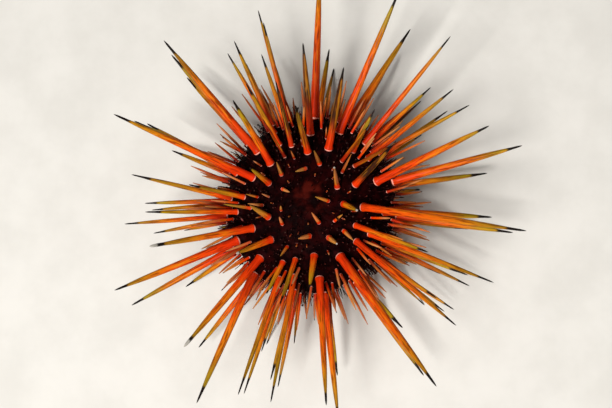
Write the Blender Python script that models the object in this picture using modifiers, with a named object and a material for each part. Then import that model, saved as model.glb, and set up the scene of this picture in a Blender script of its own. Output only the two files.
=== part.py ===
"""Caribbean reef urchin, a life-size model with its spines spread.

The test is a flattened dome made of ten gores that run from the apex over
the ambitus to the mouth: five broad interambulacra, which carry two columns
of the largest spines each, and five narrow ambulacra, with two columns of
smaller ones. An apical disc closes the top, a peristome the underside, and
five tooth tips show in the mouth. The animal stands on the blunt ends of its
lowest spines, all at z = 0.

Metres, +Z up. The origin is under the middle of the model's box, on the floor.
"""

import math
import random

import bmesh
import bpy
import numpy as np
from mathutils import Matrix, Vector

MM = 0.001

# ---------------------------------------------------------------- dimensions

# The test, a flattened ball with a flatter underside.
TEST_RADIUS = 20.0 * MM          # mean radius at the ambitus
OVAL = (0.98, 1.02)              # the test is a little longer along Y
CROWN_HEIGHT = 11.5 * MM         # from the ambitus up to the apex
BASE_DEPTH = 8.5 * MM            # from the ambitus down to the mouth
BASE_FLATNESS = 0.75             # 1 is an ellipse, less is flatter
AMBITUS_HEIGHT = 17.0 * MM       # the ambitus above the floor

# Ten gores. The bearings count from +X towards +Y.
ZONES = 5
ZONE_STEP = 360.0 / ZONES
FIRST_ZONE = 2.6                 # bearing of the first interambulacrum
AMBULACRUM_HALF = 12.5           # half width of an ambulacrum, degrees
BIG_COLUMN = 10.9                # big columns stand this far off their middle
SMALL_COLUMN = 5.6               # and the ambulacral ones this far
JOIN_GAP = 0.30 * MM             # clear space between neighbouring nodes

# Parts let into the top and the underside.
DISC_RADIUS = 4.2 * MM
DISC_RECESS = 1.4 * MM
PERISTOME_RADIUS = 8.0 * MM
PERISTOME_RECESS = 1.2 * MM
MOUTH_RADIUS = 2.6 * MM
CORE_RADIUS = 1.6 * MM
TOOTH_LENGTH = 1.7 * MM

# Spines. The rise is measured from the horizontal, the row angle from the apex.
BIG_SPINE_RADIUS = 1.08 * MM     # at the milled ring of the largest
SMALL_SPINE_RADIUS = 0.72 * MM
SECONDARY_RADIUS = 0.36 * MM
ROOT_DEPTH = 1.7 * MM
RING_HEIGHT = 0.9 * MM
FOOT_RADIUS = 0.42 * MM
FULL_FROM = 10.0 * MM            # a longer primary stays full to this share of its
FULL_TO = 0.76                   # shaft, where it still has this share of its radius
FULL_RADIUS = 0.58
SPINE_GAP = 0.34 * MM            # least space between spines of two nodes
LOWEST_TIP = 0.7 * MM            # free tips keep above this height

ROW_ANGLE = (14, 20, 28, 36, 45, 57, 70, 86, 100, 115, 130, 145, 156)
RISE = (74, 64, 50, 38, 30, 25, 14, 2, -8, -22, -38, -56, -68)
LENGTH = (6, 7, 11, 21, 31, 33, 31, 30, 27, 22, 16, 12, 9)
SECONDARY_LENGTH = (3, 4, 5, 6, 8, 10, 12, 13, 12, 10, 7, 5, 4)
GIRTH = (0.50, 0.58, 0.78, 0.92, 1.0, 1.0, 1.0, 0.98, 0.92, 0.82, 0.72, 0.62, 0.55)

BIG_GROWTH, BIG_STEP = 1.53, 27.0
SMALL_GROWTH, SMALL_STEP = 1.36, 21.0

# Each column's first spine that shows from above, as its row angle, and then
# how far each spine leans from its column's bearing and how long it is, in
# degrees and millimetres, as the animal in the photo holds them. The rows
# below these follow the rules above.
BIG_POSE = {
    (0, -1): (26, ((-25, 8), (-5, 42), (1, 27))),
    (0, 1): (23, ((70, 6), (24, 16), (7, 31), (0, 31))),
    (1, -1): (24, ((45, 5), (10, 21), (-1, 36), (-8, 27))),
    (1, 1): (19.6, ((140, 4), (15, 14), (6, 22), (1, 35), (-4, 18))),
    (2, -1): (21.5, ((-30, 5), (-17, 19), (-6, 34), (-5, 28))),
    (2, 1): (16.7, ((135, 6), (-14, 8), (0, 36), (-3, 27), (-8, 24))),
    (3, -1): (27, ((-57, 7), (-13, 26), (-3, 31), (1, 28))),
    (3, 1): (35, ((-20, 11), (5, 29), (18, 33))),
    (4, -1): (38, ((-13, 10), (-4, 32), (-3, 30))),
    (4, 1): (30, ((18, 5), (5, 41), (12, 18))),
}
SMALL_POSE = {
    (0, -1): (41, ((-13, 13), (0, 27), (-7, 24))),
    (0, 1): (48, ((13, 12), (3, 32), (-3, 19))),
    (1, -1): (37, ((-5, 17), (2, 20), (-3, 24), (0, 28))),
    (1, 1): (42, ((1, 17), (3, 22))),
    (2, -1): (44.5, ((-7, 14), (-9, 24))),
    (2, 1): (53, ((-5, 22), (-3, 24))),
    (3, -1): (46, ((-1, 10), (5, 30))),
    (3, 1): (41, ((-3, 14), (3, 32))),
    (4, -1): (34, ((-8, 5), (-3, 35))),
    (4, 1): (39, ((3, 23), (3, 34))),
}
TOP_ROW, LAST_ROW = 14.0, 153.0
SPARSE_TO = 50.0                 # few secondaries stand above this row
FEET_FROM = 124.0                # rows below this stand on the floor

COLOUR_SPINE = (0.62, 0.13, 0.03)
COLOUR_SMALL_SPINE = (0.50, 0.12, 0.04)
COLOUR_SKIN = (0.045, 0.010, 0.012)
COLOUR_TOOTH = (0.86, 0.84, 0.78)

# ------------------------------------------------------------ the test's form


def ball(row, bearing):
    """Point of the test at a row angle from the apex and a bearing, degrees."""
    u, a = math.radians(row), math.radians(bearing)
    c = math.cos(u)
    z = CROWN_HEIGHT * c if c > 0 else -BASE_DEPTH * (-c) ** BASE_FLATNESS
    r = TEST_RADIUS * math.sin(u)
    return np.array([OVAL[0] * r * math.cos(a), OVAL[1] * r * math.sin(a),
                     AMBITUS_HEIGHT + z])


def ball_normal(row, bearing):
    """Outward unit normal there, from two short chords."""
    along = ball(row + 0.5, bearing) - ball(row - 0.5, bearing)
    round_ = ball(row, bearing + 0.5) - ball(row, bearing - 0.5)
    n = np.cross(along, round_)
    return n / np.linalg.norm(n)


def heading(bearing, rise):
    a, e = math.radians(bearing), math.radians(rise)
    return np.array([math.cos(e) * math.cos(a), math.cos(e) * math.sin(a), math.sin(e)])


def by_row(row, values):
    return float(np.interp(row, ROW_ANGLE, values))


# ---------------------------------------------------------------- the layout


def column_rows(start, growth, step):
    """Row angles of one column: close at the apex, evenly spaced lower down."""
    rows = [start]
    while rows[0] / growth >= TOP_ROW:
        rows.insert(0, rows[0] / growth)
    while True:
        nxt = rows[-1] + min(rows[-1] * (growth - 1.0), step)
        if nxt > LAST_ROW:
            return rows
        rows.append(nxt)


def add_spine(spines, node, kind, row, bearing, rise, lean, length, radius, ease=1.0):
    """Ease is how freely settle may turn the spine."""
    root = ball(row, bearing)
    foot = kind != "secondary" and row >= FEET_FROM
    spines.append({"node": node, "kind": kind, "row": row, "bearing": bearing,
                   "root": root, "dir": heading(bearing + lean, rise), "ease": ease,
                   "length": length, "radius": radius, "foot": foot})


def add_secondary(spines, rng, node, row, middle, off):
    """A short spine between the columns, nearly square to the test."""
    level = math.degrees(math.asin(ball_normal(row, middle)[2]))
    add_spine(spines, node, "secondary", row, middle + off,
              0.5 * level + 0.5 * by_row(row, RISE), rng.uniform(-10, 10),
              by_row(row, SECONDARY_LENGTH) * MM * rng.uniform(0.7, 1.15),
              SECONDARY_RADIUS * rng.uniform(0.9, 1.15), 1.6)


def lay_out_spines():
    """Every spine as its node, root, direction, length and radius."""
    rng = random.Random(41)
    spines = []
    for zone in range(ZONES):
        middle = FIRST_ZONE + ZONE_STEP * zone
        node = "interambulacrum_%d" % (zone + 1)
        for side in (-1, 1):
            start, pose = BIG_POSE[(zone, side)]
            rows = column_rows(start, BIG_GROWTH, BIG_STEP)
            first = rows.index(start)
            for k, row in enumerate(rows):
                lean, ease = rng.uniform(-5, 5), 1.0
                length = by_row(row, LENGTH) * MM * rng.uniform(0.9, 1.06)
                if 0 <= k - first < len(pose):
                    lean, length = pose[k - first][0], pose[k - first][1] * MM
                    ease = 0.2
                elif k < first:
                    lean = rng.uniform(-40, 40)
                long_for_row = length / (by_row(row, LENGTH) * MM)
                rise = by_row(row, RISE) - 10 * max(0.0, long_for_row - 1.0)
                girth = by_row(row, GIRTH) * min(1.05, 0.72 + 0.28 * long_for_row)
                add_spine(spines, node, "big", row, middle + side * BIG_COLUMN,
                          rise + rng.uniform(-2, 2), lean, length,
                          BIG_SPINE_RADIUS * girth, ease)
            for above, below in zip(rows[:-1], rows[1:]):
                between = math.sqrt(above * below)
                for off in (3.4, 18.2):
                    row = between + rng.uniform(-1.5, 1.5)
                    if off < 10 or row > 24:
                        add_secondary(spines, rng, node, row, middle, side * off)
                if below > 50:
                    add_secondary(spines, rng, node, above + 3, middle, side * 17.0)
                if above > 40:
                    add_secondary(spines, rng, node, 0.5 * (between + below), middle,
                                  side * 4.6)
                if above > 55:
                    add_secondary(spines, rng, node, between + 4, middle, side * 14.2)
                    add_secondary(spines, rng, node, between - 4, middle, side * 7.8)

        middle += ZONE_STEP / 2
        node = "ambulacrum_%d" % (zone + 1)
        for side in (-1, 1):
            start, pose = SMALL_POSE[(zone, side)]
            rows = column_rows(start, SMALL_GROWTH, SMALL_STEP)
            first = rows.index(start)
            for k, row in enumerate(rows):
                if row < 21:
                    continue
                lean, ease = rng.uniform(-5, 5), 1.0
                length = by_row(row, LENGTH) * MM * rng.uniform(0.62, 0.86)
                if 0 <= k - first < len(pose):
                    lean, length = pose[k - first][0], pose[k - first][1] * MM
                    ease = 0.2
                girth = by_row(row, GIRTH) * (0.85 + 0.3 * min(1.0, length / (32 * MM)))
                add_spine(spines, node, "small", row, middle + side * SMALL_COLUMN,
                          by_row(row, RISE) + rng.uniform(-2, 2), lean, length,
                          SMALL_SPINE_RADIUS * girth, ease)
            for above, below in zip(rows[:-1], rows[1:]):
                row = math.sqrt(above * below) + rng.uniform(-1.5, 1.5)
                if row > 26:
                    add_secondary(spines, rng, node, row, middle, side * 1.6)
                if 48 < row < 132:
                    add_secondary(spines, rng, node, row, middle, side * 9.4)
    spines = thin_out(spines)
    settle(spines)
    return spines


def thin_out(spines):
    """Leave out each secondary whose root stands too close to another root.

    Near the apex, where the photo shows few of them, two in three go as well.
    """
    kept = [s for s in spines if s["kind"] != "secondary"]
    for k, s in enumerate(spines):
        if s["kind"] == "secondary" and s["row"] < SPARSE_TO and k % 3:
            continue
        if s["kind"] == "secondary" and all(
                np.linalg.norm(s["root"] - o["root"]) > s["radius"] + o["radius"] + 0.65 * MM
                for o in kept):
            kept.append(s)
    return kept


def reach_floor(root, direction):
    """A standing spine is as long as its root is high."""
    d = direction.copy()
    d[2] = min(d[2], -0.5)
    d /= np.linalg.norm(d)
    return d, root[2] / -d[2]


def settle(spines):
    """Turn spines a little until all of them pass each other with clear space.

    For each pair the nearest points of the two axes are found, at s and t of
    their lengths. Where the space between the surfaces is short, both are
    turned apart, and the one that moves there most for its turn takes most.
    """
    root = np.array([s["root"] for s in spines])
    d = np.array([s["dir"] for s in spines])
    length = np.array([s["length"] for s in spines])
    radius = np.array([s["radius"] for s in spines])
    foot = np.array([s["foot"] for s in spines])
    ease = np.array([s["ease"] for s in spines])
    names = [s["node"] for s in spines]
    i, j = np.triu_indices(len(spines), 1)
    near = np.linalg.norm(root[i] - root[j], axis=1) < length[i] + length[j] + 5 * MM
    i, j = i[near], j[near]
    same = np.array([names[a] == names[b] for a, b in zip(i, j)])
    need = np.where(same, 0.5 * SPINE_GAP, SPINE_GAP)
    for _ in range(400):
        for k in np.nonzero(foot)[0]:
            d[k], length[k] = reach_floor(root[k], d[k])
        tip_z = root[:, 2] + d[:, 2] * length
        low = (~foot) & (tip_z < LOWEST_TIP)
        d[low, 2] += (LOWEST_TIP - tip_z[low]) / length[low] + 0.002
        d /= np.linalg.norm(d, axis=1)[:, None]
        a, b = d[i] * length[i, None], d[j] * length[j, None]
        r = root[i] - root[j]
        aa, bb, ab = (a * a).sum(1), (b * b).sum(1), (a * b).sum(1)
        ar, br = (a * r).sum(1), (b * r).sum(1)
        den = np.maximum(aa * bb - ab * ab, 1e-14)
        s = np.clip((ab * br - ar * bb) / den, 0, 1)
        t = np.clip((ab * s + br) / bb, 0, 1)
        s = np.clip((ab * t - ar) / aa, 0, 1)
        away = (root[i] + a * s[:, None]) - (root[j] + b * t[:, None])
        dist = np.linalg.norm(away, axis=1)
        ri = np.where(foot[i], np.maximum(radius[i] * (1 - 0.9 * s), FOOT_RADIUS),
                      radius[i] * (1.02 - 0.9 * s))
        rj = np.where(foot[j], np.maximum(radius[j] * (1 - 0.9 * t), FOOT_RADIUS),
                      radius[j] * (1.02 - 0.9 * t))
        short = np.where((s < 0.06) & (t < 0.06), -1.0, ri + rj + need - dist)
        bad = short > 0
        if not bad.any():
            break
        push = away[bad] / np.maximum(dist[bad], 1e-6)[:, None] * short[bad, None]
        pull_i, pull_j = (ease[i] * s)[bad] + 1e-3, (ease[j] * t)[bad] + 1e-3
        share = (pull_i / (pull_i + pull_j))[:, None]
        move = np.zeros_like(d)
        np.add.at(move, i[bad], 1.1 * share * push / np.maximum(s[bad], 0.25)[:, None])
        np.add.at(move, j[bad], 1.1 * (share - 1) * push / np.maximum(t[bad], 0.25)[:, None])
        d += np.clip(move / length[:, None], -0.06, 0.06)
        d /= np.linalg.norm(d, axis=1)[:, None]
    for k in np.nonzero(foot)[0]:
        d[k], length[k] = reach_floor(root[k], d[k])
    for k, s in enumerate(spines):
        s["dir"], s["length"] = d[k], float(length[k])
    print("spines", len(spines), "pairs still close", int(bad.sum()),
          "worst %.3f mm" % (short.max() / MM))


def box_middle(spines):
    """Middle of the box round all the tips, seen from above."""
    tips = np.array([s["root"] + s["dir"] * s["length"] for s in spines])
    mid = (tips.min(axis=0) + tips.max(axis=0)) / 2
    mid[2] = 0.0
    return mid


# ------------------------------------------------------------ making the solids


def material(name, colour, roughness):
    mat = bpy.data.materials.new(name)
    mat.use_nodes = True
    shader = mat.node_tree.nodes["Principled BSDF"]
    shader.inputs["Base Color"].default_value = (*colour, 1.0)
    shader.inputs["Roughness"].default_value = roughness
    shader.inputs["Metallic"].default_value = 0.0
    return mat


def mesh_object(name, bm, collection):
    mesh = bpy.data.meshes.new(name)
    bmesh.ops.recalc_face_normals(bm, faces=bm.faces)
    bm.to_mesh(mesh)
    bm.free()
    obj = bpy.data.objects.new(name, mesh)
    collection.objects.link(obj)
    return obj


def side_axes(axis):
    """Two unit vectors square to an axis, the first as level as can be."""
    axis = Vector(axis).normalized()
    level = Vector((0, 0, 1)).cross(axis)
    if level.length < 1e-3:
        level = Vector((1, 0, 0))
    level.normalize()
    return level, axis.cross(level)


def spine_mesh(spine, shift):
    """One spine: root, milled ring, shaft and point, or a flat end on the floor."""
    root = Vector(spine["root"] - shift)
    axis = Vector(spine["dir"])
    length, radius = spine["length"], spine["radius"]
    side, up = side_axes(axis)
    sides = {"big": 6, "small": 5, "secondary": 4}[spine["kind"]]
    stations = [(-ROOT_DEPTH, 0.9 * radius), (RING_HEIGHT, radius),
                (2.2 * RING_HEIGHT, 0.8 * radius)]
    if length > FULL_FROM and not spine["foot"]:
        bend = stations[-1][0] + FULL_TO * (length - stations[-1][0])
        stations.append((bend, FULL_RADIUS * radius))
    if spine["kind"] == "secondary":
        stations = [(-0.7 * ROOT_DEPTH, radius)]
    bm = bmesh.new()
    rings = []
    for along, r in stations:
        rings.append([bm.verts.new(root + axis * along + r * (
            math.cos(math.tau * k / sides) * side + math.sin(math.tau * k / sides) * up))
            for k in range(sides)])
    if spine["foot"]:
        # The last ring lies level on the floor.
        tip = root + axis * length
        across = Vector((side.x, side.y, 0)).normalized()
        other = Vector((0, 0, -1)).cross(across)
        if other.dot(Vector((up.x, up.y, 0))) < 0:
            other = -other
        rings.append([bm.verts.new(Vector((tip.x, tip.y, 0)) + FOOT_RADIUS * (
            math.cos(math.tau * k / sides) * across + math.sin(math.tau * k / sides) * other))
            for k in range(sides)])
        bm.faces.new(rings[-1])
    else:
        point = bm.verts.new(root + axis * length)
        for k in range(sides):
            bm.faces.new((rings[-1][k], rings[-1][(k + 1) % sides], point))
    for low, high in zip(rings[:-1], rings[1:]):
        for k in range(sides):
            m = (k + 1) % sides
            bm.faces.new((low[k], low[m], high[m], high[k]))
    bm.faces.new(list(reversed(rings[0])))
    return bm


def gore_mesh(middle, half, columns, shift):
    """One gore: its outer curve, the two recesses and the core, swept round.

    Each side is a flat plane that stops half a gap short of the border with
    the neighbour, so at radius r the gore is narrower by asin(gap / 2r).
    """
    top = math.degrees(math.asin(DISC_RADIUS / TEST_RADIUS))
    low = 180.0 - math.degrees(math.asin(PERISTOME_RADIUS / TEST_RADIUS))
    rows = [top, 20, 29, 39, 50, 62, 76, 90, 104, 118, 132, 145, low]
    profile = []
    for row in rows:
        p = ball(row, 0)
        profile.append((p[0] / OVAL[0], p[2]))
    top_z, low_z = profile[0][1], profile[-1][1]
    profile += [(PERISTOME_RADIUS, low_z + PERISTOME_RECESS),
                (CORE_RADIUS, low_z + PERISTOME_RECESS),
                (CORE_RADIUS, top_z - DISC_RECESS),
                (DISC_RADIUS, top_z - DISC_RECESS)]
    bm = bmesh.new()
    grid = []
    for r, z in profile:
        reach = math.radians(half) - math.asin(0.5 * JOIN_GAP / r)
        ring = []
        for k in range(columns + 1):
            a = math.radians(middle) + reach * (2.0 * k / columns - 1.0)
            ring.append(bm.verts.new((OVAL[0] * r * math.cos(a) - shift[0],
                                      OVAL[1] * r * math.sin(a) - shift[1], z)))
        grid.append(ring)
    for here, there in zip(grid, grid[1:] + grid[:1]):
        for k in range(columns):
            bm.faces.new((here[k], there[k], there[k + 1], here[k + 1]))
    bm.faces.new([ring[0] for ring in grid])
    bm.faces.new([ring[-1] for ring in reversed(grid)])
    return bm


def keep_largest(mesh):
    """Leave only the closed surface with the most room inside it."""
    bm = bmesh.new()
    bm.from_mesh(mesh)
    left, parts = set(bm.verts), []
    while left:
        stack, part = [left.pop()], []
        while stack:
            v = stack.pop()
            part.append(v)
            for e in v.link_edges:
                w = e.other_vert(v)
                if w in left:
                    left.discard(w)
                    stack.append(w)
        parts.append(part)

    def room(part):
        xs = [v.co for v in part]
        return math.prod(max(c[k] for c in xs) - min(c[k] for c in xs) for k in range(3))

    parts.sort(key=room)
    for part in parts[:-1]:
        bmesh.ops.delete(bm, geom=part, context="VERTS")
    bm.to_mesh(mesh)
    bm.free()
    return len(parts)


def fuse(host, pieces):
    """Join the pieces to their host with one union and drop the pieces."""
    group = bpy.data.collections.new(host.name + "_pieces")
    bpy.context.scene.collection.children.link(group)
    for k, bm in enumerate(pieces):
        mesh_object("%s_piece_%d" % (host.name, k), bm, group)
    union = host.modifiers.new("union", "BOOLEAN")
    union.operation = "UNION"
    union.operand_type = "COLLECTION"
    union.collection = group
    union.solver = "MANIFOLD"
    graph = bpy.context.evaluated_depsgraph_get()
    fused = bpy.data.meshes.new_from_object(host.evaluated_get(graph), depsgraph=graph)
    host.modifiers.clear()
    old, host.data = host.data, fused
    bpy.data.meshes.remove(old)
    for obj in list(group.objects):
        mesh = obj.data
        bpy.data.objects.remove(obj, do_unlink=True)
        bpy.data.meshes.remove(mesh)
    bpy.data.collections.remove(group)
    shells = keep_largest(host.data)
    print("%-20s %2d pieces, %d shells, %d triangles" % (
        host.name, len(pieces), shells, sum(len(p.vertices) - 2 for p in host.data.polygons)))


def turned(name, profile, collection, shift, steps=24):
    """A turned solid: a profile at +X, from the top down its outer side."""
    bm = bmesh.new()
    verts = [bm.verts.new((x, 0, z)) for x, z in profile]
    for a, b in zip(verts[:-1], verts[1:]):
        bm.edges.new((a, b))
    if profile[0][0] > 0:
        bm.edges.new((verts[-1], verts[0]))
    mesh = bpy.data.meshes.new(name)
    bm.to_mesh(mesh)
    bm.free()
    obj = bpy.data.objects.new(name, mesh)
    collection.objects.link(obj)
    obj.location = (-shift[0], -shift[1], 0)
    obj.scale = (OVAL[0], OVAL[1], 1)
    screw = obj.modifiers.new("turn", "SCREW")
    screw.steps = steps
    screw.render_steps = steps
    screw.use_merge_vertices = True
    screw.merge_threshold = 1e-5
    return obj


def tooth_mesh(k, z, shift):
    """One tooth tip, a chisel that leans in to the mouth's middle."""
    a = math.tau * (k + 0.5) / 5
    out = Vector((math.cos(a), math.sin(a), 0))
    side = Vector((-out.y, out.x, 0))
    centre = Vector((-shift[0], -shift[1], z))
    bm = bmesh.new()
    rings = []
    for drop, reach, wide, thick in ((-0.3, 1.35, 0.42, 0.32), (0.55, 0.98, 0.38, 0.26),
                                     (1.0, 0.52, 0.20, 0.12)):
        mid = centre + out * (reach * MM) - Vector((0, 0, drop * TOOTH_LENGTH))
        rings.append([bm.verts.new(mid + side * (x * wide * MM) + out * (y * thick * MM))
                      for x, y in ((-1, -1), (1, -1), (1, 1), (-1, 1))])
    for low, high in zip(rings[:-1], rings[1:]):
        for m in range(4):
            n = (m + 1) % 4
            bm.faces.new((low[m], low[n], high[n], high[m]))
    bm.faces.new(rings[-1])
    bm.faces.new(list(reversed(rings[0])))
    return bm


def build():
    for obj in list(bpy.data.objects):
        bpy.data.objects.remove(obj, do_unlink=True)
    urchin = bpy.data.collections.new("reef_urchin")
    bpy.context.scene.collection.children.link(urchin)
    spine_colour = material("spine", COLOUR_SPINE, 0.45)
    small_colour = material("small_spine", COLOUR_SMALL_SPINE, 0.45)
    skin = material("skin", COLOUR_SKIN, 0.6)
    tooth_colour = material("tooth", COLOUR_TOOTH, 0.35)

    spines = lay_out_spines()
    shift = box_middle(spines)
    for zone in range(ZONES):
        middle = FIRST_ZONE + ZONE_STEP * zone
        for name, at, half, columns, mat in (
                ("interambulacrum_%d" % (zone + 1), middle,
                 ZONE_STEP / 2 - AMBULACRUM_HALF, 5, spine_colour),
                ("ambulacrum_%d" % (zone + 1), middle + ZONE_STEP / 2,
                 AMBULACRUM_HALF, 3, small_colour)):
            gore = mesh_object(name, gore_mesh(at, half, columns, shift), urchin)
            gore.data.materials.append(mat)
            fuse(gore, [spine_mesh(s, shift) for s in spines if s["node"] == name])

    top = ball(math.degrees(math.asin(DISC_RADIUS / TEST_RADIUS)), 0)[2]
    low = ball(180 - math.degrees(math.asin(PERISTOME_RADIUS / TEST_RADIUS)), 0)[2]
    crown = AMBITUS_HEIGHT + CROWN_HEIGHT
    rim = DISC_RADIUS - JOIN_GAP
    disc = turned("apical_disc", (
        (0, crown + 0.35 * MM), (0.5 * MM, crown + 0.3 * MM), (0.9 * MM, crown),
        (2.4 * MM, crown - 0.08 * MM), (rim - 0.3 * MM, top + 0.05 * MM),
        (rim, top - 0.2 * MM), (rim, top - DISC_RECESS + JOIN_GAP),
        (CORE_RADIUS - JOIN_GAP, top - DISC_RECESS + JOIN_GAP),
        (CORE_RADIUS - JOIN_GAP, low + PERISTOME_RECESS),
        (0, low + PERISTOME_RECESS)), urchin, shift)
    disc.data.materials.append(skin)

    inner = MOUTH_RADIUS
    peristome = turned("peristome", (
        (inner, low + PERISTOME_RECESS - JOIN_GAP),
        (PERISTOME_RADIUS - JOIN_GAP, low + PERISTOME_RECESS - JOIN_GAP),
        (PERISTOME_RADIUS - JOIN_GAP, low + 0.15 * MM),
        (PERISTOME_RADIUS - 1.2 * MM, low - 0.05 * MM),
        (inner + 1.3 * MM, low - 0.2 * MM),
        (inner + 0.6 * MM, low - 0.55 * MM),
        (inner, low - 0.4 * MM)), urchin, shift)
    peristome.data.materials.append(skin)

    bm = bmesh.new()
    place = Matrix.Translation((-shift[0], -shift[1], low + 0.5 * (
        PERISTOME_RECESS - JOIN_GAP) - 0.1 * MM))
    bmesh.ops.create_cone(bm, cap_ends=True, segments=20, radius1=MOUTH_RADIUS - JOIN_GAP,
                          radius2=MOUTH_RADIUS - JOIN_GAP,
                          depth=PERISTOME_RECESS - JOIN_GAP + 0.2 * MM, matrix=place)
    teeth = mesh_object("teeth", bm, urchin)
    teeth.data.materials.append(tooth_colour)
    fuse(teeth, [tooth_mesh(k, low - 0.2 * MM, shift) for k in range(5)])

    for obj in urchin.objects:
        obj.data.set_sharp_from_angle(angle=math.radians(35))
    stands = [s for s in spines if s["foot"]]
    print("standing on", len(stands), "spines, the first at",
          tuple(round(float(v), 5) for v in (stands[0]["root"] - shift
                                             + stands[0]["dir"] * stands[0]["length"])))


build()
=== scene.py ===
# %% [markdown]
# # A Caribbean reef urchin, dressed over its CAD frame
#
# A sea urchin is a stony shell, the test, wrapped in a thin living skin and set
# all over with spines. This file makes what the eye sees: one dark skin, some
# four hundred spines with their milled rings, the collars of muscle that turn
# them, tube feet, tiny pincers and five white teeth.
#
# It could be sculpted by hand, or scattered with a particle system. Here every
# piece is a surface worked out with numpy: a formula of two parameters, or a
# profile carried along a line. The formula can be read, changed and run again,
# and it gives the same mesh each time.
#
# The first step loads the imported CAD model. It stays hidden under the pieces
# and tells where each of them must be.

# %% Load the CAD frame
import math
import random

import bpy
import numpy as np
from mathutils import Matrix, Vector


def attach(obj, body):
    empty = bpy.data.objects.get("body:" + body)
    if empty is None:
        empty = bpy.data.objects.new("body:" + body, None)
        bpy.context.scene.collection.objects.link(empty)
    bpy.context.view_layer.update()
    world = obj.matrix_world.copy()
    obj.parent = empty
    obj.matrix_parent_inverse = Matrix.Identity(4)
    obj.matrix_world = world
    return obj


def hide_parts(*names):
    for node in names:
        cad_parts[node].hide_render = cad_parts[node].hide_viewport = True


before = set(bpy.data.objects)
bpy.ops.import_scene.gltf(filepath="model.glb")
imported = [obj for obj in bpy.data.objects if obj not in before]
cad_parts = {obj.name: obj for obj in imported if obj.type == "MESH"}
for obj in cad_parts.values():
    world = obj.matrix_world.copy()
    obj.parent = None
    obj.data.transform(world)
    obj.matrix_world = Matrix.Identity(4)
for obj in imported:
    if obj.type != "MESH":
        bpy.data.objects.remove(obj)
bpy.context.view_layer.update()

print("CAD nodes:", ", ".join(sorted(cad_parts)))

# %% [markdown]
# ## The sizes of the animal
#
# The test is a flattened ball, 40 mm across and 20 mm high. It is built of ten
# gores that run from top to mouth, like the segments of an orange: five broad
# ones, the interambulacra, and five narrow ones, the ambulacra. Angles serve
# better here than x, y and z: a row angle counts down from the apex, and a
# bearing counts round from +X towards +Y. All lengths are in metres.

# %% Sizes of the test and of its ten gores
MM = 0.001
TEST_RADIUS = 20.0 * MM          # mean radius at the ambitus
OVAL = (0.98, 1.02)              # the test is a little longer along Y
CROWN_HEIGHT = 11.5 * MM         # from the ambitus up to the apex
BASE_DEPTH = 8.5 * MM            # from the ambitus down to the mouth
BASE_FLATNESS = 0.75             # 1 is an ellipse, less is flatter
AMBITUS_HEIGHT = 17.0 * MM       # the ambitus above the floor

ZONES = 5
ZONE_STEP = 360.0 / ZONES
FIRST_ZONE = 2.6                 # bearing of the first interambulacrum
AMBULACRUM_HALF = 12.5           # half width of an ambulacrum, degrees
BIG_COLUMN = 10.9                # big columns stand this far off their middle
SMALL_COLUMN = 5.6               # and the ambulacral ones this far

DISC_RADIUS = 4.2 * MM           # the apical disc
PERISTOME_RADIUS = 8.0 * MM      # the soft ring round the mouth
PERISTOME_RECESS = 1.2 * MM
MOUTH_RADIUS = 2.6 * MM
TOOTH_LENGTH = 1.7 * MM

print("test %.0f mm across, %.0f mm high" % (
    2 * TEST_RADIUS / MM, (CROWN_HEIGHT + BASE_DEPTH) / MM))

# %% [markdown]
# ## The test as a function of two angles
#
# A ball is the plainest closed surface: a point is found from how far down and
# how far round it is. Stretching it level and squashing it upright gives the
# dome, and a power below one on the lower half gives the flat underside.

# %% A point of the test, and the direction that faces out of it
def ball(row, bearing):
    """Point of the test at a row angle from the apex and a bearing, degrees."""
    u, a = math.radians(row), math.radians(bearing)
    c = math.cos(u)
    z = CROWN_HEIGHT * c if c > 0 else -BASE_DEPTH * (-c) ** BASE_FLATNESS
    r = TEST_RADIUS * math.sin(u)
    return np.array([OVAL[0] * r * math.cos(a), OVAL[1] * r * math.sin(a),
                     AMBITUS_HEIGHT + z])


def ball_normal(row, bearing):
    """Outward unit normal there, from two short chords."""
    along = ball(row + 0.5, bearing) - ball(row - 0.5, bearing)
    across = ball(row, bearing + 0.5) - ball(row, bearing - 0.5)
    n = np.cross(along, across)
    return n / np.linalg.norm(n)


def heading(bearing, rise):
    """Unit vector at a bearing and a rise above the horizontal, degrees."""
    a, e = math.radians(bearing), math.radians(rise)
    return np.array([math.cos(e) * math.cos(a), math.cos(e) * math.sin(a), math.sin(e)])


print("apex at %.1f mm, mouth at %.1f mm" % (
    ball(0, 0)[2] / MM, ball(180, 0)[2] / MM))

# %% [markdown]
# ## Where the spines stand
#
# Each broad gore carries two columns of primary spines and each narrow gore two
# columns of smaller ones, with short secondaries between. Lengths, girths and
# slopes change steadily from apex to mouth, so short tables over the row angle
# describe them. The spines that the camera sees best are posed one by one, by
# how far each leans from its column and how long it is. The CAD model was laid
# out by the same rules, so every spine here grows where its solid does, and only
# the smallest ones, round the apex, are posed anew in the cell on the crown.

# %% Sizes and tables of the spines
BIG_SPINE_RADIUS = 1.08 * MM     # at the milled ring of the largest
SMALL_SPINE_RADIUS = 0.72 * MM
SECONDARY_RADIUS = 0.36 * MM
RING_HEIGHT = 0.9 * MM
FOOT_RADIUS = 0.42 * MM
SPINE_GAP = 0.34 * MM            # least space between spines of two gores
LOWEST_TIP = 0.7 * MM            # free tips keep above this height

ROW_ANGLE = (14, 20, 28, 36, 45, 57, 70, 86, 100, 115, 130, 145, 156)
RISE = (74, 64, 50, 38, 30, 25, 14, 2, -8, -22, -38, -56, -68)
LENGTH = (6, 7, 11, 21, 31, 33, 31, 30, 27, 22, 16, 12, 9)
SECONDARY_LENGTH = (3, 4, 5, 6, 8, 10, 12, 13, 12, 10, 7, 5, 4)
GIRTH = (0.50, 0.58, 0.78, 0.92, 1.0, 1.0, 1.0, 0.98, 0.92, 0.82, 0.72, 0.62, 0.55)

BIG_GROWTH, BIG_STEP = 1.53, 27.0
SMALL_GROWTH, SMALL_STEP = 1.36, 21.0

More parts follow.
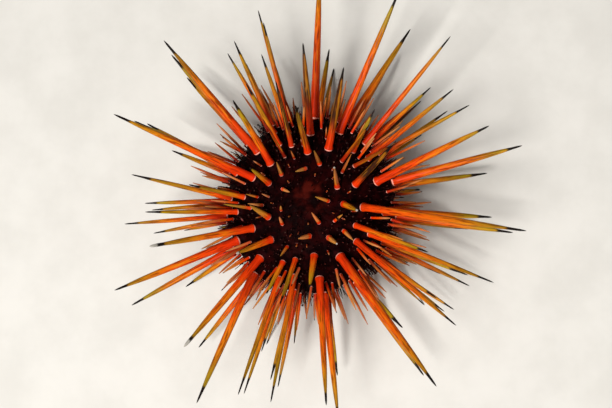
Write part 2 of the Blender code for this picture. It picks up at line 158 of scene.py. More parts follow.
# Each column's first spine that shows from above, as its row angle, and then
# how far each spine leans from its column's bearing and how long it is, in
# degrees and millimetres, as the animal in the photo holds them. The rows
# below these follow the rules above.
BIG_POSE = {
    (0, -1): (26, ((-25, 8), (-5, 42), (1, 27))),
    (0, 1): (23, ((70, 6), (24, 16), (7, 31), (0, 31))),
    (1, -1): (24, ((45, 5), (10, 21), (-1, 36), (-8, 27))),
    (1, 1): (19.6, ((140, 4), (15, 14), (6, 22), (1, 35), (-4, 18))),
    (2, -1): (21.5, ((-30, 5), (-17, 19), (-6, 34), (-5, 28))),
    (2, 1): (16.7, ((135, 6), (-14, 8), (0, 36), (-3, 27), (-8, 24))),
    (3, -1): (27, ((-57, 7), (-13, 26), (-3, 31), (1, 28))),
    (3, 1): (35, ((-20, 11), (5, 29), (18, 33))),
    (4, -1): (38, ((-13, 10), (-4, 32), (-3, 30))),
    (4, 1): (30, ((18, 5), (5, 41), (12, 18))),
}
SMALL_POSE = {
    (0, -1): (41, ((-13, 13), (0, 27), (-7, 24))),
    (0, 1): (48, ((13, 12), (3, 32), (-3, 19))),
    (1, -1): (37, ((-5, 17), (2, 20), (-3, 24), (0, 28))),
    (1, 1): (42, ((1, 17), (3, 22))),
    (2, -1): (44.5, ((-7, 14), (-9, 24))),
    (2, 1): (53, ((-5, 22), (-3, 24))),
    (3, -1): (46, ((-1, 10), (5, 30))),
    (3, 1): (41, ((-3, 14), (3, 32))),
    (4, -1): (34, ((-8, 5), (-3, 35))),
    (4, 1): (39, ((3, 23), (3, 34))),
}
TOP_ROW, LAST_ROW = 14.0, 153.0
SPARSE_TO = 50.0                 # few secondaries stand above this row
SMALL_FROM = 21.0                # and no ambulacral spine above this one
FEET_FROM = 124.0                # rows below this stand on the floor

LEAN_SWAY = 5.0                  # by rule a spine leans up to this far, degrees
SECONDARY_SWAY = 10.0            # a secondary up to this far
YOUNG_SWAY = 40.0                # and a young one at the apex up to this far
RISE_SWAY = 2.0
ROW_SWAY = 1.5
BIG_SPREAD = (0.90, 1.06)        # lengths by rule, as shares of the table's
SMALL_SPREAD = (0.62, 0.86)
SECONDARY_SPREAD = (0.70, 1.15)
SECONDARY_GIRTHS = (0.90, 1.15)
BY_RULE, BY_EYE, FREE = 1.0, 0.2, 1.6      # how easily settle turns a spine
LONG_DROOP = 10.0                # a spine twice as long as its row's lies lower by this
print("tables for %d row angles, poses for %d columns" % (
    len(ROW_ANGLE), len(BIG_POSE) + len(SMALL_POSE)))

# %% Rules of the layout
def by_row(row, values):
    """The value at a row angle, on straight lines between the table's."""
    return float(np.interp(row, ROW_ANGLE, values))


def column_rows(start, growth, step):
    """Row angles of one column: each is the last one times growth, close together
    at the apex, and lower down the last one plus step."""
    rows = [start]
    while rows[0] / growth >= TOP_ROW:
        rows.insert(0, rows[0] / growth)
    while True:
        nxt = rows[-1] + min(rows[-1] * (growth - 1.0), step)
        if nxt > LAST_ROW:
            return rows
        rows.append(nxt)


def add_spine(spines, node, kind, row, bearing, rise, lean, length, radius, ease):
    """Note one spine. Its direction is its column's bearing plus its lean."""
    spines.append({"node": node, "kind": kind, "row": row, "bearing": bearing,
                   "root": ball(row, bearing), "dir": heading(bearing + lean, rise),
                   "ease": ease, "length": length, "radius": radius,
                   "foot": kind != "secondary" and row >= FEET_FROM})


def add_secondary(spines, rng, node, row, middle, off):
    """A short spine between the columns: its rise is half way from the test's
    outward direction to that of the primary spines of its row."""
    level = math.degrees(math.asin(ball_normal(row, middle)[2]))
    add_spine(spines, node, "secondary", row, middle + off,
              0.5 * level + 0.5 * by_row(row, RISE),
              rng.uniform(-SECONDARY_SWAY, SECONDARY_SWAY),
              by_row(row, SECONDARY_LENGTH) * MM * rng.uniform(*SECONDARY_SPREAD),
              SECONDARY_RADIUS * rng.uniform(*SECONDARY_GIRTHS), FREE)


print("rows of a broad gore's column:",
      [round(row) for row in column_rows(23, BIG_GROWTH, BIG_STEP)])

# %% The primary spines of one column
def lean_and_length(rng, row, place, pose, spread):
    """Lean, length and ease of a column's spine, by its pose or else by rule."""
    lean = rng.uniform(-LEAN_SWAY, LEAN_SWAY)
    length = by_row(row, LENGTH) * MM * rng.uniform(*spread)
    if 0 <= place < len(pose):
        return pose[place][0], pose[place][1] * MM, BY_EYE
    return lean, length, BY_RULE


def big_column(spines, rng, node, bearing, start, pose):
    """Large spines. Girth = row's girth (0.72 + 0.28 length / row's length)."""
    rows = column_rows(start, BIG_GROWTH, BIG_STEP)
    first = rows.index(start)
    for k, row in enumerate(rows):
        lean, length, ease = lean_and_length(rng, row, k - first, pose, BIG_SPREAD)
        if k < first:
            lean = rng.uniform(-YOUNG_SWAY, YOUNG_SWAY)
        long_for_row = length / (by_row(row, LENGTH) * MM)
        rise = by_row(row, RISE) - LONG_DROOP * max(0.0, long_for_row - 1.0)
        girth = by_row(row, GIRTH) * min(1.05, 0.72 + 0.28 * long_for_row)
        add_spine(spines, node, "big", row, bearing, rise + rng.uniform(-RISE_SWAY, RISE_SWAY),
                  lean, length, BIG_SPINE_RADIUS * girth, ease)
    return rows


def small_column(spines, rng, node, bearing, start, pose):
    """Ambulacral spines. Girth = row's girth (0.85 + 0.3 length / 32 mm)."""
    rows = column_rows(start, SMALL_GROWTH, SMALL_STEP)
    first = rows.index(start)
    for k, row in enumerate(rows):
        if row < SMALL_FROM:
            continue
        lean, length, ease = lean_and_length(rng, row, k - first, pose, SMALL_SPREAD)
        girth = by_row(row, GIRTH) * (0.85 + 0.3 * min(1.0, length / (32 * MM)))
        add_spine(spines, node, "small", row, bearing,
                  by_row(row, RISE) + rng.uniform(-RISE_SWAY, RISE_SWAY),
                  lean, length, SMALL_SPINE_RADIUS * girth, ease)
    return rows


# %% Places for the secondaries between two rows
# Offsets are degrees from the middle of a gore. Where a line starts with a row
# angle, its place is used from that row on, and the last one in a span of rows.
INNER_OFF = 3.4
OUTER_FROM, OUTER_OFF = 24.0, 18.2
EDGE_FROM, EDGE_OFF = 50.0, 17.0
MIDDLE_FROM, MIDDLE_OFF = 40.0, 4.6
PAIR_FROM, PAIR_OFFS = 55.0, (14.2, 7.8)
NARROW_FROM, NARROW_INNER_OFF = 26.0, 1.6
NARROW_ROWS, NARROW_OUTER_OFF = (48.0, 132.0), 9.4


def broad_places(above, below, rng):
    """Row angles and offsets in a broad gore.

    Two stand half way between the rows, at their geometric mean. Lower down the
    rows lie further apart, so more places are added there.
    """
    between = math.sqrt(above * below)
    for off in (INNER_OFF, OUTER_OFF):
        row = between + rng.uniform(-ROW_SWAY, ROW_SWAY)
        if off == INNER_OFF or row > OUTER_FROM:
            yield row, off
    if below > EDGE_FROM:
        yield above + 3, EDGE_OFF
    if above > MIDDLE_FROM:
        yield 0.5 * (between + below), MIDDLE_OFF
    if above > PAIR_FROM:
        yield between + 4, PAIR_OFFS[0]
        yield between - 4, PAIR_OFFS[1]


def narrow_places(above, below, rng):
    """The same for a narrow gore: one place near its middle and one at its edge."""
    row = math.sqrt(above * below) + rng.uniform(-ROW_SWAY, ROW_SWAY)
    if row > NARROW_FROM:
        yield row, NARROW_INNER_OFF
    if NARROW_ROWS[0] < row < NARROW_ROWS[1]:
        yield row, NARROW_OUTER_OFF


# %% All gores
def lay_out_spines():
    """Every spine as its node, root, direction, length and radius."""
    rng = random.Random(41)
    spines = []
    for zone in range(ZONES):
        for name, turn, column, off, poses, places in (
                ("interambulacrum_%d", 0.0, big_column, BIG_COLUMN, BIG_POSE, broad_places),
                ("ambulacrum_%d", ZONE_STEP / 2, small_column, SMALL_COLUMN, SMALL_POSE,
                 narrow_places)):
            middle = FIRST_ZONE + ZONE_STEP * zone + turn
            node = name % (zone + 1)
            for side in (-1, 1):
                rows = column(spines, rng, node, middle + side * off, *poses[(zone, side)])
                for above, below in zip(rows[:-1], rows[1:]):
                    for row, place in places(above, below, rng):
                        add_secondary(spines, rng, node, row, middle, side * place)
    spines = thin_out(spines)
    settle(spines)
    return spines


# %% [markdown]
# ### Room for every spine
#
# Real spines turn aside for each other, and none passes through its neighbour.
# They could be checked by eye and moved one at a time, but there are thousands of
# pairs. Here all pairs are measured at once, each that stands too close is turned
# apart a little, and this is repeated until none is left. Posed spines hardly
# turn, and secondaries give way to them.

# %% Room for every spine
ROOT_ROOM = 0.65 * MM            # between a secondary's root and its neighbours'
ROUNDS = 400                     # settle takes at most this many
AT_ROOT = 0.06                   # a pair isn't parted within this share of its lengths
OVERTURN = 1.1                   # turn by a little more than the space that is short
LEAST_LEVER = 0.25               # share of the length that a turn is reckoned on
LARGEST_TURN = 0.06              # of a radian, in one round


def thin_out(spines):
    """Leave out each secondary whose root stands too close to another root.

    Near the apex, where the photo shows few of them, two in three go as well.
    """
    kept = [s for s in spines if s["kind"] != "secondary"]
    for k, s in enumerate(spines):
        if s["kind"] == "secondary" and s["row"] < SPARSE_TO and k % 3:
            continue
        if s["kind"] == "secondary" and all(
                np.linalg.norm(s["root"] - o["root"]) > s["radius"] + o["radius"] + ROOT_ROOM
                for o in kept):
            kept.append(s)
    return kept


def reach_floor(root, direction):
    """A standing spine is as long as its root is high."""
    d = direction.copy()
    d[2] = min(d[2], -0.5)
    d /= np.linalg.norm(d)
    return d, root[2] / -d[2]


def nearest_points(r, a, b):
    """Shares s and t of the axes a and b, r apart at their roots, where they are
    nearest: the least of |r + s a - t b|, each share kept between 0 and 1."""
    aa, bb, ab = (a * a).sum(1), (b * b).sum(1), (a * b).sum(1)
    ar, br = (a * r).sum(1), (b * r).sum(1)
    s = np.clip((ab * br - ar * bb) / np.maximum(aa * bb - ab * ab, 1e-14), 0, 1)
    t = np.clip((ab * s + br) / bb, 0, 1)
    return np.clip((ab * t - ar) / aa, 0, 1), t


def girth_at(radius, along, foot):
    """Radius at a share of the length: radius (1 - 0.9 share), or that of a foot."""
    return np.where(foot, np.maximum(radius * (1 - 0.9 * along), FOOT_RADIUS),
                    radius * (1.02 - 0.9 * along))


def settle(spines):
    """Turn spines a little until all of them pass each other with clear space.

    For each pair the nearest points of the two axes are found, at s and t of
    their lengths. Where the space between the surfaces is short, both are
    turned apart, and the one that moves there most for its turn takes most.
    """
    root = np.array([s["root"] for s in spines])
    d = np.array([s["dir"] for s in spines])
    length = np.array([s["length"] for s in spines])
    radius = np.array([s["radius"] for s in spines])
    foot = np.array([s["foot"] for s in spines])
    ease = np.array([s["ease"] for s in spines])
    names = [s["node"] for s in spines]
    i, j = np.triu_indices(len(spines), 1)
    near = np.linalg.norm(root[i] - root[j], axis=1) < length[i] + length[j] + 5 * MM
    i, j = i[near], j[near]
    same = np.array([names[a] == names[b] for a, b in zip(i, j)])
    need = np.where(same, 0.5 * SPINE_GAP, SPINE_GAP)
    for _ in range(ROUNDS):
        for k in np.nonzero(foot)[0]:
            d[k], length[k] = reach_floor(root[k], d[k])
        tip_z = root[:, 2] + d[:, 2] * length
        low = (~foot) & (tip_z < LOWEST_TIP)
        d[low, 2] += (LOWEST_TIP - tip_z[low]) / length[low] + 0.002
        d /= np.linalg.norm(d, axis=1)[:, None]
        a, b = d[i] * length[i, None], d[j] * length[j, None]
        s, t = nearest_points(root[i] - root[j], a, b)
        away = (root[i] + a * s[:, None]) - (root[j] + b * t[:, None])
        dist = np.linalg.norm(away, axis=1)
        thick = girth_at(radius[i], s, foot[i]) + girth_at(radius[j], t, foot[j])
        by_root = (s < AT_ROOT) & (t < AT_ROOT)
        short = np.where(by_root, -1.0, thick + need - dist)
        bad = short > 0
        if not bad.any():
            break
        push = away[bad] / np.maximum(dist[bad], 1e-6)[:, None] * short[bad, None]
        pull_i, pull_j = (ease[i] * s)[bad] + 1e-3, (ease[j] * t)[bad] + 1e-3
        share = (pull_i / (pull_i + pull_j))[:, None]
        move = np.zeros_like(d)
        for which, part, lever in ((i, share, s), (j, share - 1, t)):
            lever = np.maximum(lever[bad], LEAST_LEVER)[:, None]
            np.add.at(move, which[bad], OVERTURN * part * push / lever)
        d += np.clip(move / length[:, None], -LARGEST_TURN, LARGEST_TURN)
        d /= np.linalg.norm(d, axis=1)[:, None]
    for k in np.nonzero(foot)[0]:
        d[k], length[k] = reach_floor(root[k], d[k])
    for k, s in enumerate(spines):
        s["dir"], s["length"] = d[k], float(length[k])
    print("spines", len(spines), "pairs still close", int(bad.sum()),
          "worst %.3f mm" % (short.max() / MM))


def box_middle(spines):
    """Middle of the box round all the tips, seen from above."""
    tips = np.array([s["root"] + s["dir"] * s["length"] for s in spines])
    mid = (tips.min(axis=0) + tips.max(axis=0)) / 2
    mid[2] = 0.0
    return mid


# %% Lay the spines out
spines = lay_out_spines()
shift = box_middle(spines)
roots = np.array([s["root"] for s in spines]) - shift
axes = np.array([s["dir"] for s in spines])
lengths = np.array([s["length"] for s in spines])
girths = np.array([s["radius"] for s in spines])
kinds = np.array([s["kind"] for s in spines])
standing = np.array([s["foot"] for s in spines])
homes = np.array([s["node"] for s in spines])
spine_rows = np.array([s["row"] for s in spines])
spine_bearings = np.array([s["bearing"] for s in spines])
normals = np.array([ball_normal(s["row"], s["bearing"]) for s in spines])
by_rule = np.array([s["ease"] == BY_RULE for s in spines])
print("spines:", {k: int((kinds == k).sum()) for k in ("big", "small", "secondary")},
      "standing on", int(standing.sum()))

# %% [markdown]
# ## The crown
#
# Seen from above, the middle of the animal draws the eye. Few spines stand there:
# short ones that lean every way, thin ones, and grains where new ones begin. The
# rules gave them their roots, and here the ones that show are posed one by one.
# Every other young spine becomes a grain, which a single test on arrays can do.

# %% Sizes and poses of the crown
YOUNG_ROW = 35.5                 # the young spines stand above this row
GRAIN_LENGTH = 1.5 * MM
GRAIN_GIRTH = 0.40               # share of the girth that the rules give
THIN_ROW = 46.0                  # above this row secondaries are short and thin too
THIN_LENGTH, THIN_GIRTH = 0.45, 0.60
FRINGE_ROWS = (45.0, 60.0)       # over these rows they grow shorter for their place
FRINGE_SHORTER = 0.26            # by up to this share
CROWN_POSE = (
    # row and bearing of the root, bearing and rise of the spine, its length in
    # millimetres and its share of the girth
    (17.0, 351.7, 170, 55, 5.0, 0.90), (23.0, 13.5, 95, 40, 6.0, 1.05),
    (24.0, 63.7, 110, 55, 5.0, 0.95), (19.6, 85.5, 210, 50, 4.0, 1.00),
    (21.5, 135.7, 105, 60, 5.0, 0.95), (16.7, 157.5, 330, 45, 3.6, 0.90),
    (17.6, 207.7, 75, 70, 2.6, 0.60), (22.9, 229.5, 105, 60, 3.2, 0.75),
    (24.8, 279.7, 205, 55, 4.6, 0.90), (19.6, 301.5, 125, 60, 4.8, 0.85),
    (25.0, 321.0, 30, 40, 3.5, 0.90), (30.1, 33.0, 55, 40, 6.0, 0.70),
    (27.2, 105.0, 110, 60, 3.2, 0.65), (24.1, 177.0, 165, 60, 3.0, 0.70),
    (32.7, 177.0, 175, 55, 4.2, 0.65), (28.7, 188.2, 180, 45, 4.6, 0.75),
    (33.8, 249.0, 245, 50, 4.6, 0.75), (39.0, 188.2, 176, 36, 7.5, 0.60))
SLIM_ONES = (                    # row and bearing of the root, share of the girth
    (35.3, 44.2, 0.75), (30.9, 116.2, 0.70), (41.0, 33.0, 0.75))


# %% Pose the small spines round the apex
def share_between(value, start, end):
    """0 up to start, 1 from end on, and a straight line between."""
    return np.clip((value - start) / (end - start), 0, 1)


def nearest(row, bearing):
    """Number of the primary spine whose root is nearest to a place, in degrees."""
    turn = (spine_bearings - bearing + 180) % 360 - 180
    return int(np.argmin(np.hypot(spine_rows - row, turn) + 99 * (kinds == "secondary")))


young = by_rule & (spine_rows < YOUNG_ROW)
posed = [nearest(*pose[:2]) for pose in CROWN_POSE]
slim = [nearest(*one[:2]) for one in SLIM_ONES]
young[posed + slim] = False
lengths = np.where(young, GRAIN_LENGTH, lengths)
girths = np.where(young, GRAIN_GIRTH * girths, girths)
for k, (_, _, bearing, rise, length, share) in zip(posed, CROWN_POSE):
    axes[k], lengths[k] = heading(bearing, rise), length * MM
    girths[k] *= share
for k, (_, _, share) in zip(slim, SLIM_ONES):
    girths[k] *= share
short_thin = (kinds == "secondary") & (spine_rows < THIN_ROW)
lengths = np.where(short_thin, THIN_LENGTH * lengths, lengths)
girths = np.where(short_thin, THIN_GIRTH * girths, girths)
# The secondaries of the fringe stay close to the body, as dark short spines do.
lengths = lengths * (1 - FRINGE_SHORTER * (kinds == "secondary")
                     * share_between(spine_rows, *FRINGE_ROWS))
reach = roots + axes * lengths[:, None]
print("crown:", len(posed), "posed,", int(young.sum()), "grains")
print("tips from", np.round(reach.min(axis=0) / MM, 1),
      "to", np.round(reach.max(axis=0) / MM, 1))

# %% [markdown]
# ## The camera
#
# The photograph looks almost straight down on the animal from about 33 cm.
# Placing the camera first means that each piece can be judged from the right
# side as soon as it is made. Shifting the camera body by a millimetre, without
# turning it, slides the animal to its place in the picture.

# %% Camera
CAMERA_DISTANCE = 330.0 * MM
CAMERA_LEAN = (6.9, -8.4)        # off the vertical to the right and up, degrees
CAMERA_LENS, SENSOR_WIDTH = 83.7, 36.0     # millimetres, as the camera takes them
CAMERA_SLIDE = (-0.97 * MM, 0.21 * MM)
NEAREST, FARTHEST = 0.01, 20.0   # what lies between is drawn, metres


def camera_axes(lean):
    """Right, up and back of a camera that looks down and leans by two angles: back
    is (sin of one, sin of the other, 1), and the others are square to it."""
    back = Vector((math.sin(math.radians(lean[0])), math.sin(math.radians(lean[1])), 1.0))
    back.normalize()
    right = Vector((0, 1, 0)).cross(back).normalized()
    return right, back.cross(right), back


right, up, back = camera_axes(CAMERA_LEAN)
target = Vector((0, 0, AMBITUS_HEIGHT)) - Vector(shift)
eye = target + back * CAMERA_DISTANCE + right * CAMERA_SLIDE[0] + up * CAMERA_SLIDE[1]
lens = bpy.data.cameras.new("camera")
lens.lens, lens.sensor_width = CAMERA_LENS, SENSOR_WIDTH
lens.clip_start, lens.clip_end = NEAREST, FARTHEST
camera = bpy.data.objects.new("camera", lens)
turn = Matrix((right, up, back)).transposed().to_4x4()
camera.matrix_world = Matrix.Translation(eye) @ turn
bpy.context.scene.collection.objects.link(camera)
bpy.context.scene.camera = camera
print("camera at %s mm" % [round(c / MM, 1) for c in eye])

# %% [markdown]
# ## Closed rings: the one mesh maker
#
# A spine, a tube foot and the whole test are the same thing to a mesh: rings of
# points, one after another, with a last point that closes each end. So one
# function turns arrays of rings into faces, for any number of tubes at once. It
# returns plain arrays, and a second function joins several such arrays into one
# object. Writing whole arrays at a time is hundreds of times faster than adding
# points one by one.

# %% From rings of points to faces
FAN_SHARE = 0.03                 # of a patch's height, for the fan at each end


def tube_faces(tubes, rings, sides):
    """Corners of the four-sided faces and of the two end fans of every tube."""
    k, n = np.meshgrid(np.arange(rings - 1), np.arange(sides), indexing="ij")
    m = (n + 1) % sides
    quad = np.stack([k * sides + n, k * sides + m, (k + 1) * sides + m,
                     (k + 1) * sides + n], axis=-1).reshape(-1, 4)
    n = np.arange(sides)
    m = (n + 1) % sides
    start, end, top = rings * sides, rings * sides + 1, (rings - 1) * sides
    fan = np.concatenate([np.stack([np.full(sides, start), m, n], axis=-1),
                          np.stack([np.full(sides, end), top + n, top + m], axis=-1)])
    first = (np.arange(tubes) * (rings * sides + 2))[:, None, None]
    return (quad[None] + first).reshape(-1, 4), (fan[None] + first).reshape(-1, 3)


def tube_uv(points, cells):
    """UV places of those corners: u runs round the tube and v along it."""
    tubes, rings, sides, _ = points.shape
    v = np.linalg.norm(np.diff(points.mean(axis=2), axis=1), axis=2)
    v = np.concatenate([np.zeros((tubes, 1)), np.cumsum(v, axis=1)], axis=1)
    v = FAN_SHARE + (1 - 2 * FAN_SHARE) * v / np.maximum(v[:, -1:], 1e-9)
    u = np.arange(sides + 1) / sides
    ones = np.ones((tubes, rings - 1, sides))
    left, right, low, high = ones * u[:-1], ones * u[1:], v[:, :-1, None], v[:, 1:, None]
    quads = np.stack([np.stack([left, ones * low], -1), np.stack([right, ones * low], -1),
                      np.stack([right, ones * high], -1), np.stack([left, ones * high], -1)],
                     axis=3).reshape(tubes, -1, 4, 2)
    middle, flat = 0.5 * (u[:-1] + u[1:]), np.ones(sides)
    near, far = FAN_SHARE * flat, (1 - FAN_SHARE) * flat
    fans = np.concatenate([
        np.stack([np.stack([middle, 0 * flat], -1), np.stack([u[1:], near], -1),
                  np.stack([u[:-1], near], -1)], axis=1),
        np.stack([np.stack([middle, flat], -1), np.stack([u[:-1], far], -1),
                  np.stack([u[1:], far], -1)], axis=1)])
    fans = np.tile(fans, (tubes, 1, 1, 1))
    place, size = cells[:, None, None, :2], cells[:, None, None, 2:]
    return (place + size * quads).reshape(-1, 4, 2), (place + size * fans).reshape(-1, 3, 2)


def point_marks(value, shape):
    """A mark for every ring and side, and for the two closing points their mean."""
    more = value.shape[3:]
    value = np.broadcast_to(value, shape + more).astype(float)
    ends = [value[:, k].mean(axis=1)[:, None] for k in (0, -1)]
    value = value.reshape((shape[0], shape[1] * shape[2]) + more)
    return np.concatenate([value] + ends, axis=1).reshape((-1,) + more)


def closed_tubes(points, start, end, cells, marks):
    """Faces, UV map and marks of many closed tubes.

    points is (tube, ring, side, xyz), start and end are the two closing points.
    Ring k joins ring k+1 with four-sided faces and each end is a fan of three-
    sided ones. cells gives each tube's patch of the UV map as (u, v, width,
    height). marks are numbers for the materials, as (tube, ring, side) with a
    length of 1 where a mark doesn't change.
    """
    tubes, rings, sides, _ = points.shape
    co = np.concatenate([points.reshape(tubes, rings * sides, 3),
                         start[:, None], end[:, None]], axis=1)
    quads, fans = tube_faces(tubes, rings, sides)
    uv_quads, uv_fans = tube_uv(points, cells)
    return {"co": co.reshape(-1, 3), "quads": quads, "fans": fans,
            "uv_quads": uv_quads, "uv_fans": uv_fans,
            "marks": {name: point_marks(value, points.shape[:3])
                      for name, value in marks.items()}}


# %% From arrays to one finished object
def make_piece(name, parts, material, slot, replaced=()):
    """Join the parts in one mesh, write its UV map and marks, and let it ride."""
    sizes = [len(p["co"]) for p in parts]
    starts = np.concatenate([[0], np.cumsum(sizes)[:-1]]).astype(int)
    co = np.concatenate([p["co"] for p in parts])
    quads = np.concatenate([p["quads"] + s for p, s in zip(parts, starts)])
    fans = np.concatenate([p["fans"] + s for p, s in zip(parts, starts)])
    uv = np.concatenate([np.concatenate([p["uv_quads"] for p in parts]).reshape(-1, 2),
                         np.concatenate([p["uv_fans"] for p in parts]).reshape(-1, 2)])
    corners = np.concatenate([quads.ravel(), fans.ravel()]).astype(np.int32)
    counts = np.concatenate([np.full(len(quads), 4), np.full(len(fans), 3)])
    mesh = bpy.data.meshes.new(name)
    mesh.vertices.add(len(co))
    mesh.vertices.foreach_set("co", co.astype(np.float32).ravel())
    mesh.loops.add(len(corners))
    mesh.loops.foreach_set("vertex_index", corners)
    mesh.polygons.add(len(counts))
    mesh.polygons.foreach_set("loop_start", (np.cumsum(counts) - counts).astype(np.int32))
    mesh.polygons.foreach_set("use_smooth", np.ones(len(counts), bool))
    mesh.update(calc_edges=True)
    layer = mesh.uv_layers.new(name="OFBake")
    layer.data.foreach_set("uv", uv.astype(np.float32).ravel())
    for key in parts[0]["marks"]:
        values = np.concatenate([p["marks"][key] for p in parts]).astype(np.float32)
        vector = values.ndim == 2
        mark = mesh.attributes.new(key, "FLOAT_VECTOR" if vector else "FLOAT", "POINT")
        mark.data.foreach_set("vector" if vector else "value", values.ravel())
    mesh.materials.append(material)
    piece = bpy.data.objects.new(name, mesh)
    bpy.context.scene.collection.objects.link(piece)
    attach(piece, "root")
    if replaced:
        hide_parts(*replaced)
    print("%-26s %7d triangles" % (name, 2 * len(quads) + len(fans)))


# %% Rings round a line
def crossways(axis):
    """Two unit vectors square to each axis, so that side x up = axis: side is
    square to the axis and to the vertical, or to X for a steep axis."""
    axis = np.asarray(axis, float)
    steep = np.abs(axis[..., 2:]) > 0.95
    helper = np.where(steep, (1.0, 0.0, 0.0), (0.0, 0.0, 1.0))
    side = np.cross(helper, axis)
    side /= np.linalg.norm(side, axis=-1, keepdims=True)
    return side, np.cross(axis, side)


def rings_round(centre, axis, radius, sides, wave=0.0):
    """Rings of points round the centres: centre + r (cos a side + sin a up).

    centre and axis are (tube, ring, xyz) and radius (tube, ring). wave makes the
    radius a little larger or smaller round it: r = radius (1 + wave).
    """
    side, up = crossways(axis)
    a = 2 * np.pi * np.arange(sides) / sides
    r = np.repeat(radius[..., None], sides, axis=2) * (1.0 + wave)
    spread = np.cos(a)[:, None] * side[:, :, None] + np.sin(a)[:, None] * up[:, :, None]
    return centre[:, :, None] + r[..., None] * spread


# %% Patches of the UV map
PATCH_GAP = 0.004                # round each patch of the grid
ROOT_PATCH = 0.003               # width of a small growth's patch


def cell_grid(count):
    """One patch of an even grid over the UV square for each of many long tubes."""
    wide = int(math.ceil(math.sqrt(count * 0.75)))
    high = int(math.ceil(count / wide))
    k = np.arange(count)
    return np.stack([(k % wide) / wide + PATCH_GAP, (k // wide) / high + PATCH_GAP,
                     np.full(count, 1 / wide - 2 * PATCH_GAP),
                     np.full(count, 1 / high - 2 * PATCH_GAP)], axis=1)


def root_patches(rows, bearings):
    """A small patch at each root's place on the unwrapped test: u is the bearing
    over 360 degrees and v is one less the row angle over 180."""
    return np.stack([np.asarray(bearings) % 360.0 / 360.0 * (1 - ROOT_PATCH),
                     (1.0 - np.asarray(rows) / 180.0) * (1 - ROOT_PATCH),
                     np.full(len(rows), ROOT_PATCH), np.full(len(rows), ROOT_PATCH)], axis=1)


print("mesh maker ready")

# %% [markdown]
# ## Finishes
#
# The colours of a reef urchin are pigment in thin skin, so they change along
# each spine and never stop at a hard line. Instead of painted pictures, the
# materials read numbers that the meshes carry at each point: how far along the
# spine it is, how near the ring, how dark this one spine is. A colour ramp turns
# the number into a colour, and noise breaks it up. A few short helpers keep the
# node graphs readable.

# %% Helpers for node graphs
class Finish:
    """A material under construction: its nodes are added and linked by name."""

    def __init__(self, name, roughness, specular):
        """A new material with one shader of this roughness and shine."""
        self.material = bpy.data.materials.new(name)
        self.material.use_nodes = True
        self.tree = self.material.node_tree
        self.shader = self.tree.nodes["Principled BSDF"]
        self.shader.inputs["Roughness"].default_value = roughness
        self.shader.inputs["Specular IOR Level"].default_value = specular

    def add(self, kind, **settings):
        """A new node. A setting is one of its own, or else the value of a socket."""
        node = self.tree.nodes.new(kind)
        for key, value in settings.items():
            if hasattr(node, key):
                setattr(node, key, value)
            else:
                node.inputs[key].default_value = value
        return node

    def feed(self, value, socket):
        """Set a number or a colour on a socket, or link another node to it."""
        if isinstance(value, (int, float)):
            socket.default_value = value
        elif isinstance(value, tuple):
            socket.default_value = (*value, 1.0)
        else:
            self.tree.links.new(value, socket)

    def show(self, name, value):
        """Give the shader its base colour, roughness or normal."""
        self.feed(value, self.shader.inputs[name])

    def place(self):
        """Where a point is, in metres from the frame's origin."""
        return self.add("ShaderNodeTexCoord").outputs["Object"]

    def mark(self, name, output="Fac"):
        """A mark that the mesh carries, as a number or as a vector."""
        return self.add("ShaderNodeAttribute", attribute_name=name).outputs[output]

    def ramp(self, factor, stops):
        """Colours by a number from 0 to 1: each stop is its place and its colour."""
        node = self.add("ShaderNodeValToRGB")
        elements = node.color_ramp.elements
        while len(elements) < len(stops):
            elements.new(0.5)
        for element, (place, colour) in zip(elements, stops):
            element.position = place
            element.color = (*colour, 1.0)
        self.feed(factor, node.inputs["Fac"])
        return node.outputs["Color"]

    def math(self, operation, a, b=None, clamp=False):
        """One operation on one or two numbers, kept from 0 to 1 if clamp is set."""
        node = self.add("ShaderNodeMath", operation=operation, use_clamp=clamp)
        self.feed(a, node.inputs[0])
        if b is not None:
            self.feed(b, node.inputs[1])
        return node.outputs["Value"]

    def times(self, a, b):
        """The product of two numbers."""
        return self.math("MULTIPLY", a, b)

    def sway(self, value, share):
        """A noise turned to a swing about nought: share (value - 0.5)."""
        return self.times(self.math("SUBTRACT", value, 0.5), share)

    def span(self, value, low, high, to_low=0.0, to_high=1.0):
        """Smooth step: to_low up to low, to_high from high on."""
        node = self.add("ShaderNodeMapRange", interpolation_type="SMOOTHSTEP")
        for key, number in (("Value", value), ("From Min", low), ("From Max", high),
                            ("To Min", to_low), ("To Max", to_high)):
            self.feed(number, node.inputs[key])
        return node.outputs["Result"]

    def mix(self, factor, a, b):
        """Colour a, going over to b as the factor goes from 0 to 1."""
        node = self.add("ShaderNodeMix", data_type="RGBA")
        for k, value in ((0, factor), (6, a), (7, b)):
            self.feed(value, node.inputs[k])
        return node.outputs[2]

    def noise(self, vector, scale, detail=2.0, rough=0.5):
        """Soft noise from 0 to 1, with scale blotches to each unit of the vector."""
        node = self.add("ShaderNodeTexNoise", Scale=scale, Detail=detail, Roughness=rough)
        self.feed(vector, node.inputs["Vector"])
        return node.outputs["Fac"]

    def bump(self, height, distance, strength=0.5, under=None):
        """Relief of a height in metres, over another relief if one is given."""
        node = self.add("ShaderNodeBump", Strength=strength, Distance=distance)
        self.feed(height, node.inputs["Height"])
        if under is not None:
            self.feed(under, node.inputs["Normal"])
        return node.outputs["Normal"]


print("finish helpers ready")

# %% [markdown]
# ## The skin
#
# A living urchin wears its shell inside out: a thin dark skin covers the whole
# test, and each spine stands on a low knob, the tubercle. On top is the apical
# disc, where five larger and five smaller plates ring the vent. Underneath, a
# soft ring of skin slopes in to the mouth.
#
# Booleans or sculpting would leave seams between these parts. Instead one grid
# of rows and bearings covers everything, from inside the lips round to the apex,
# and each feature is a height that is added along the outward direction. Heights
# of many features add up, so knobs, plates and folds run softly into each other.

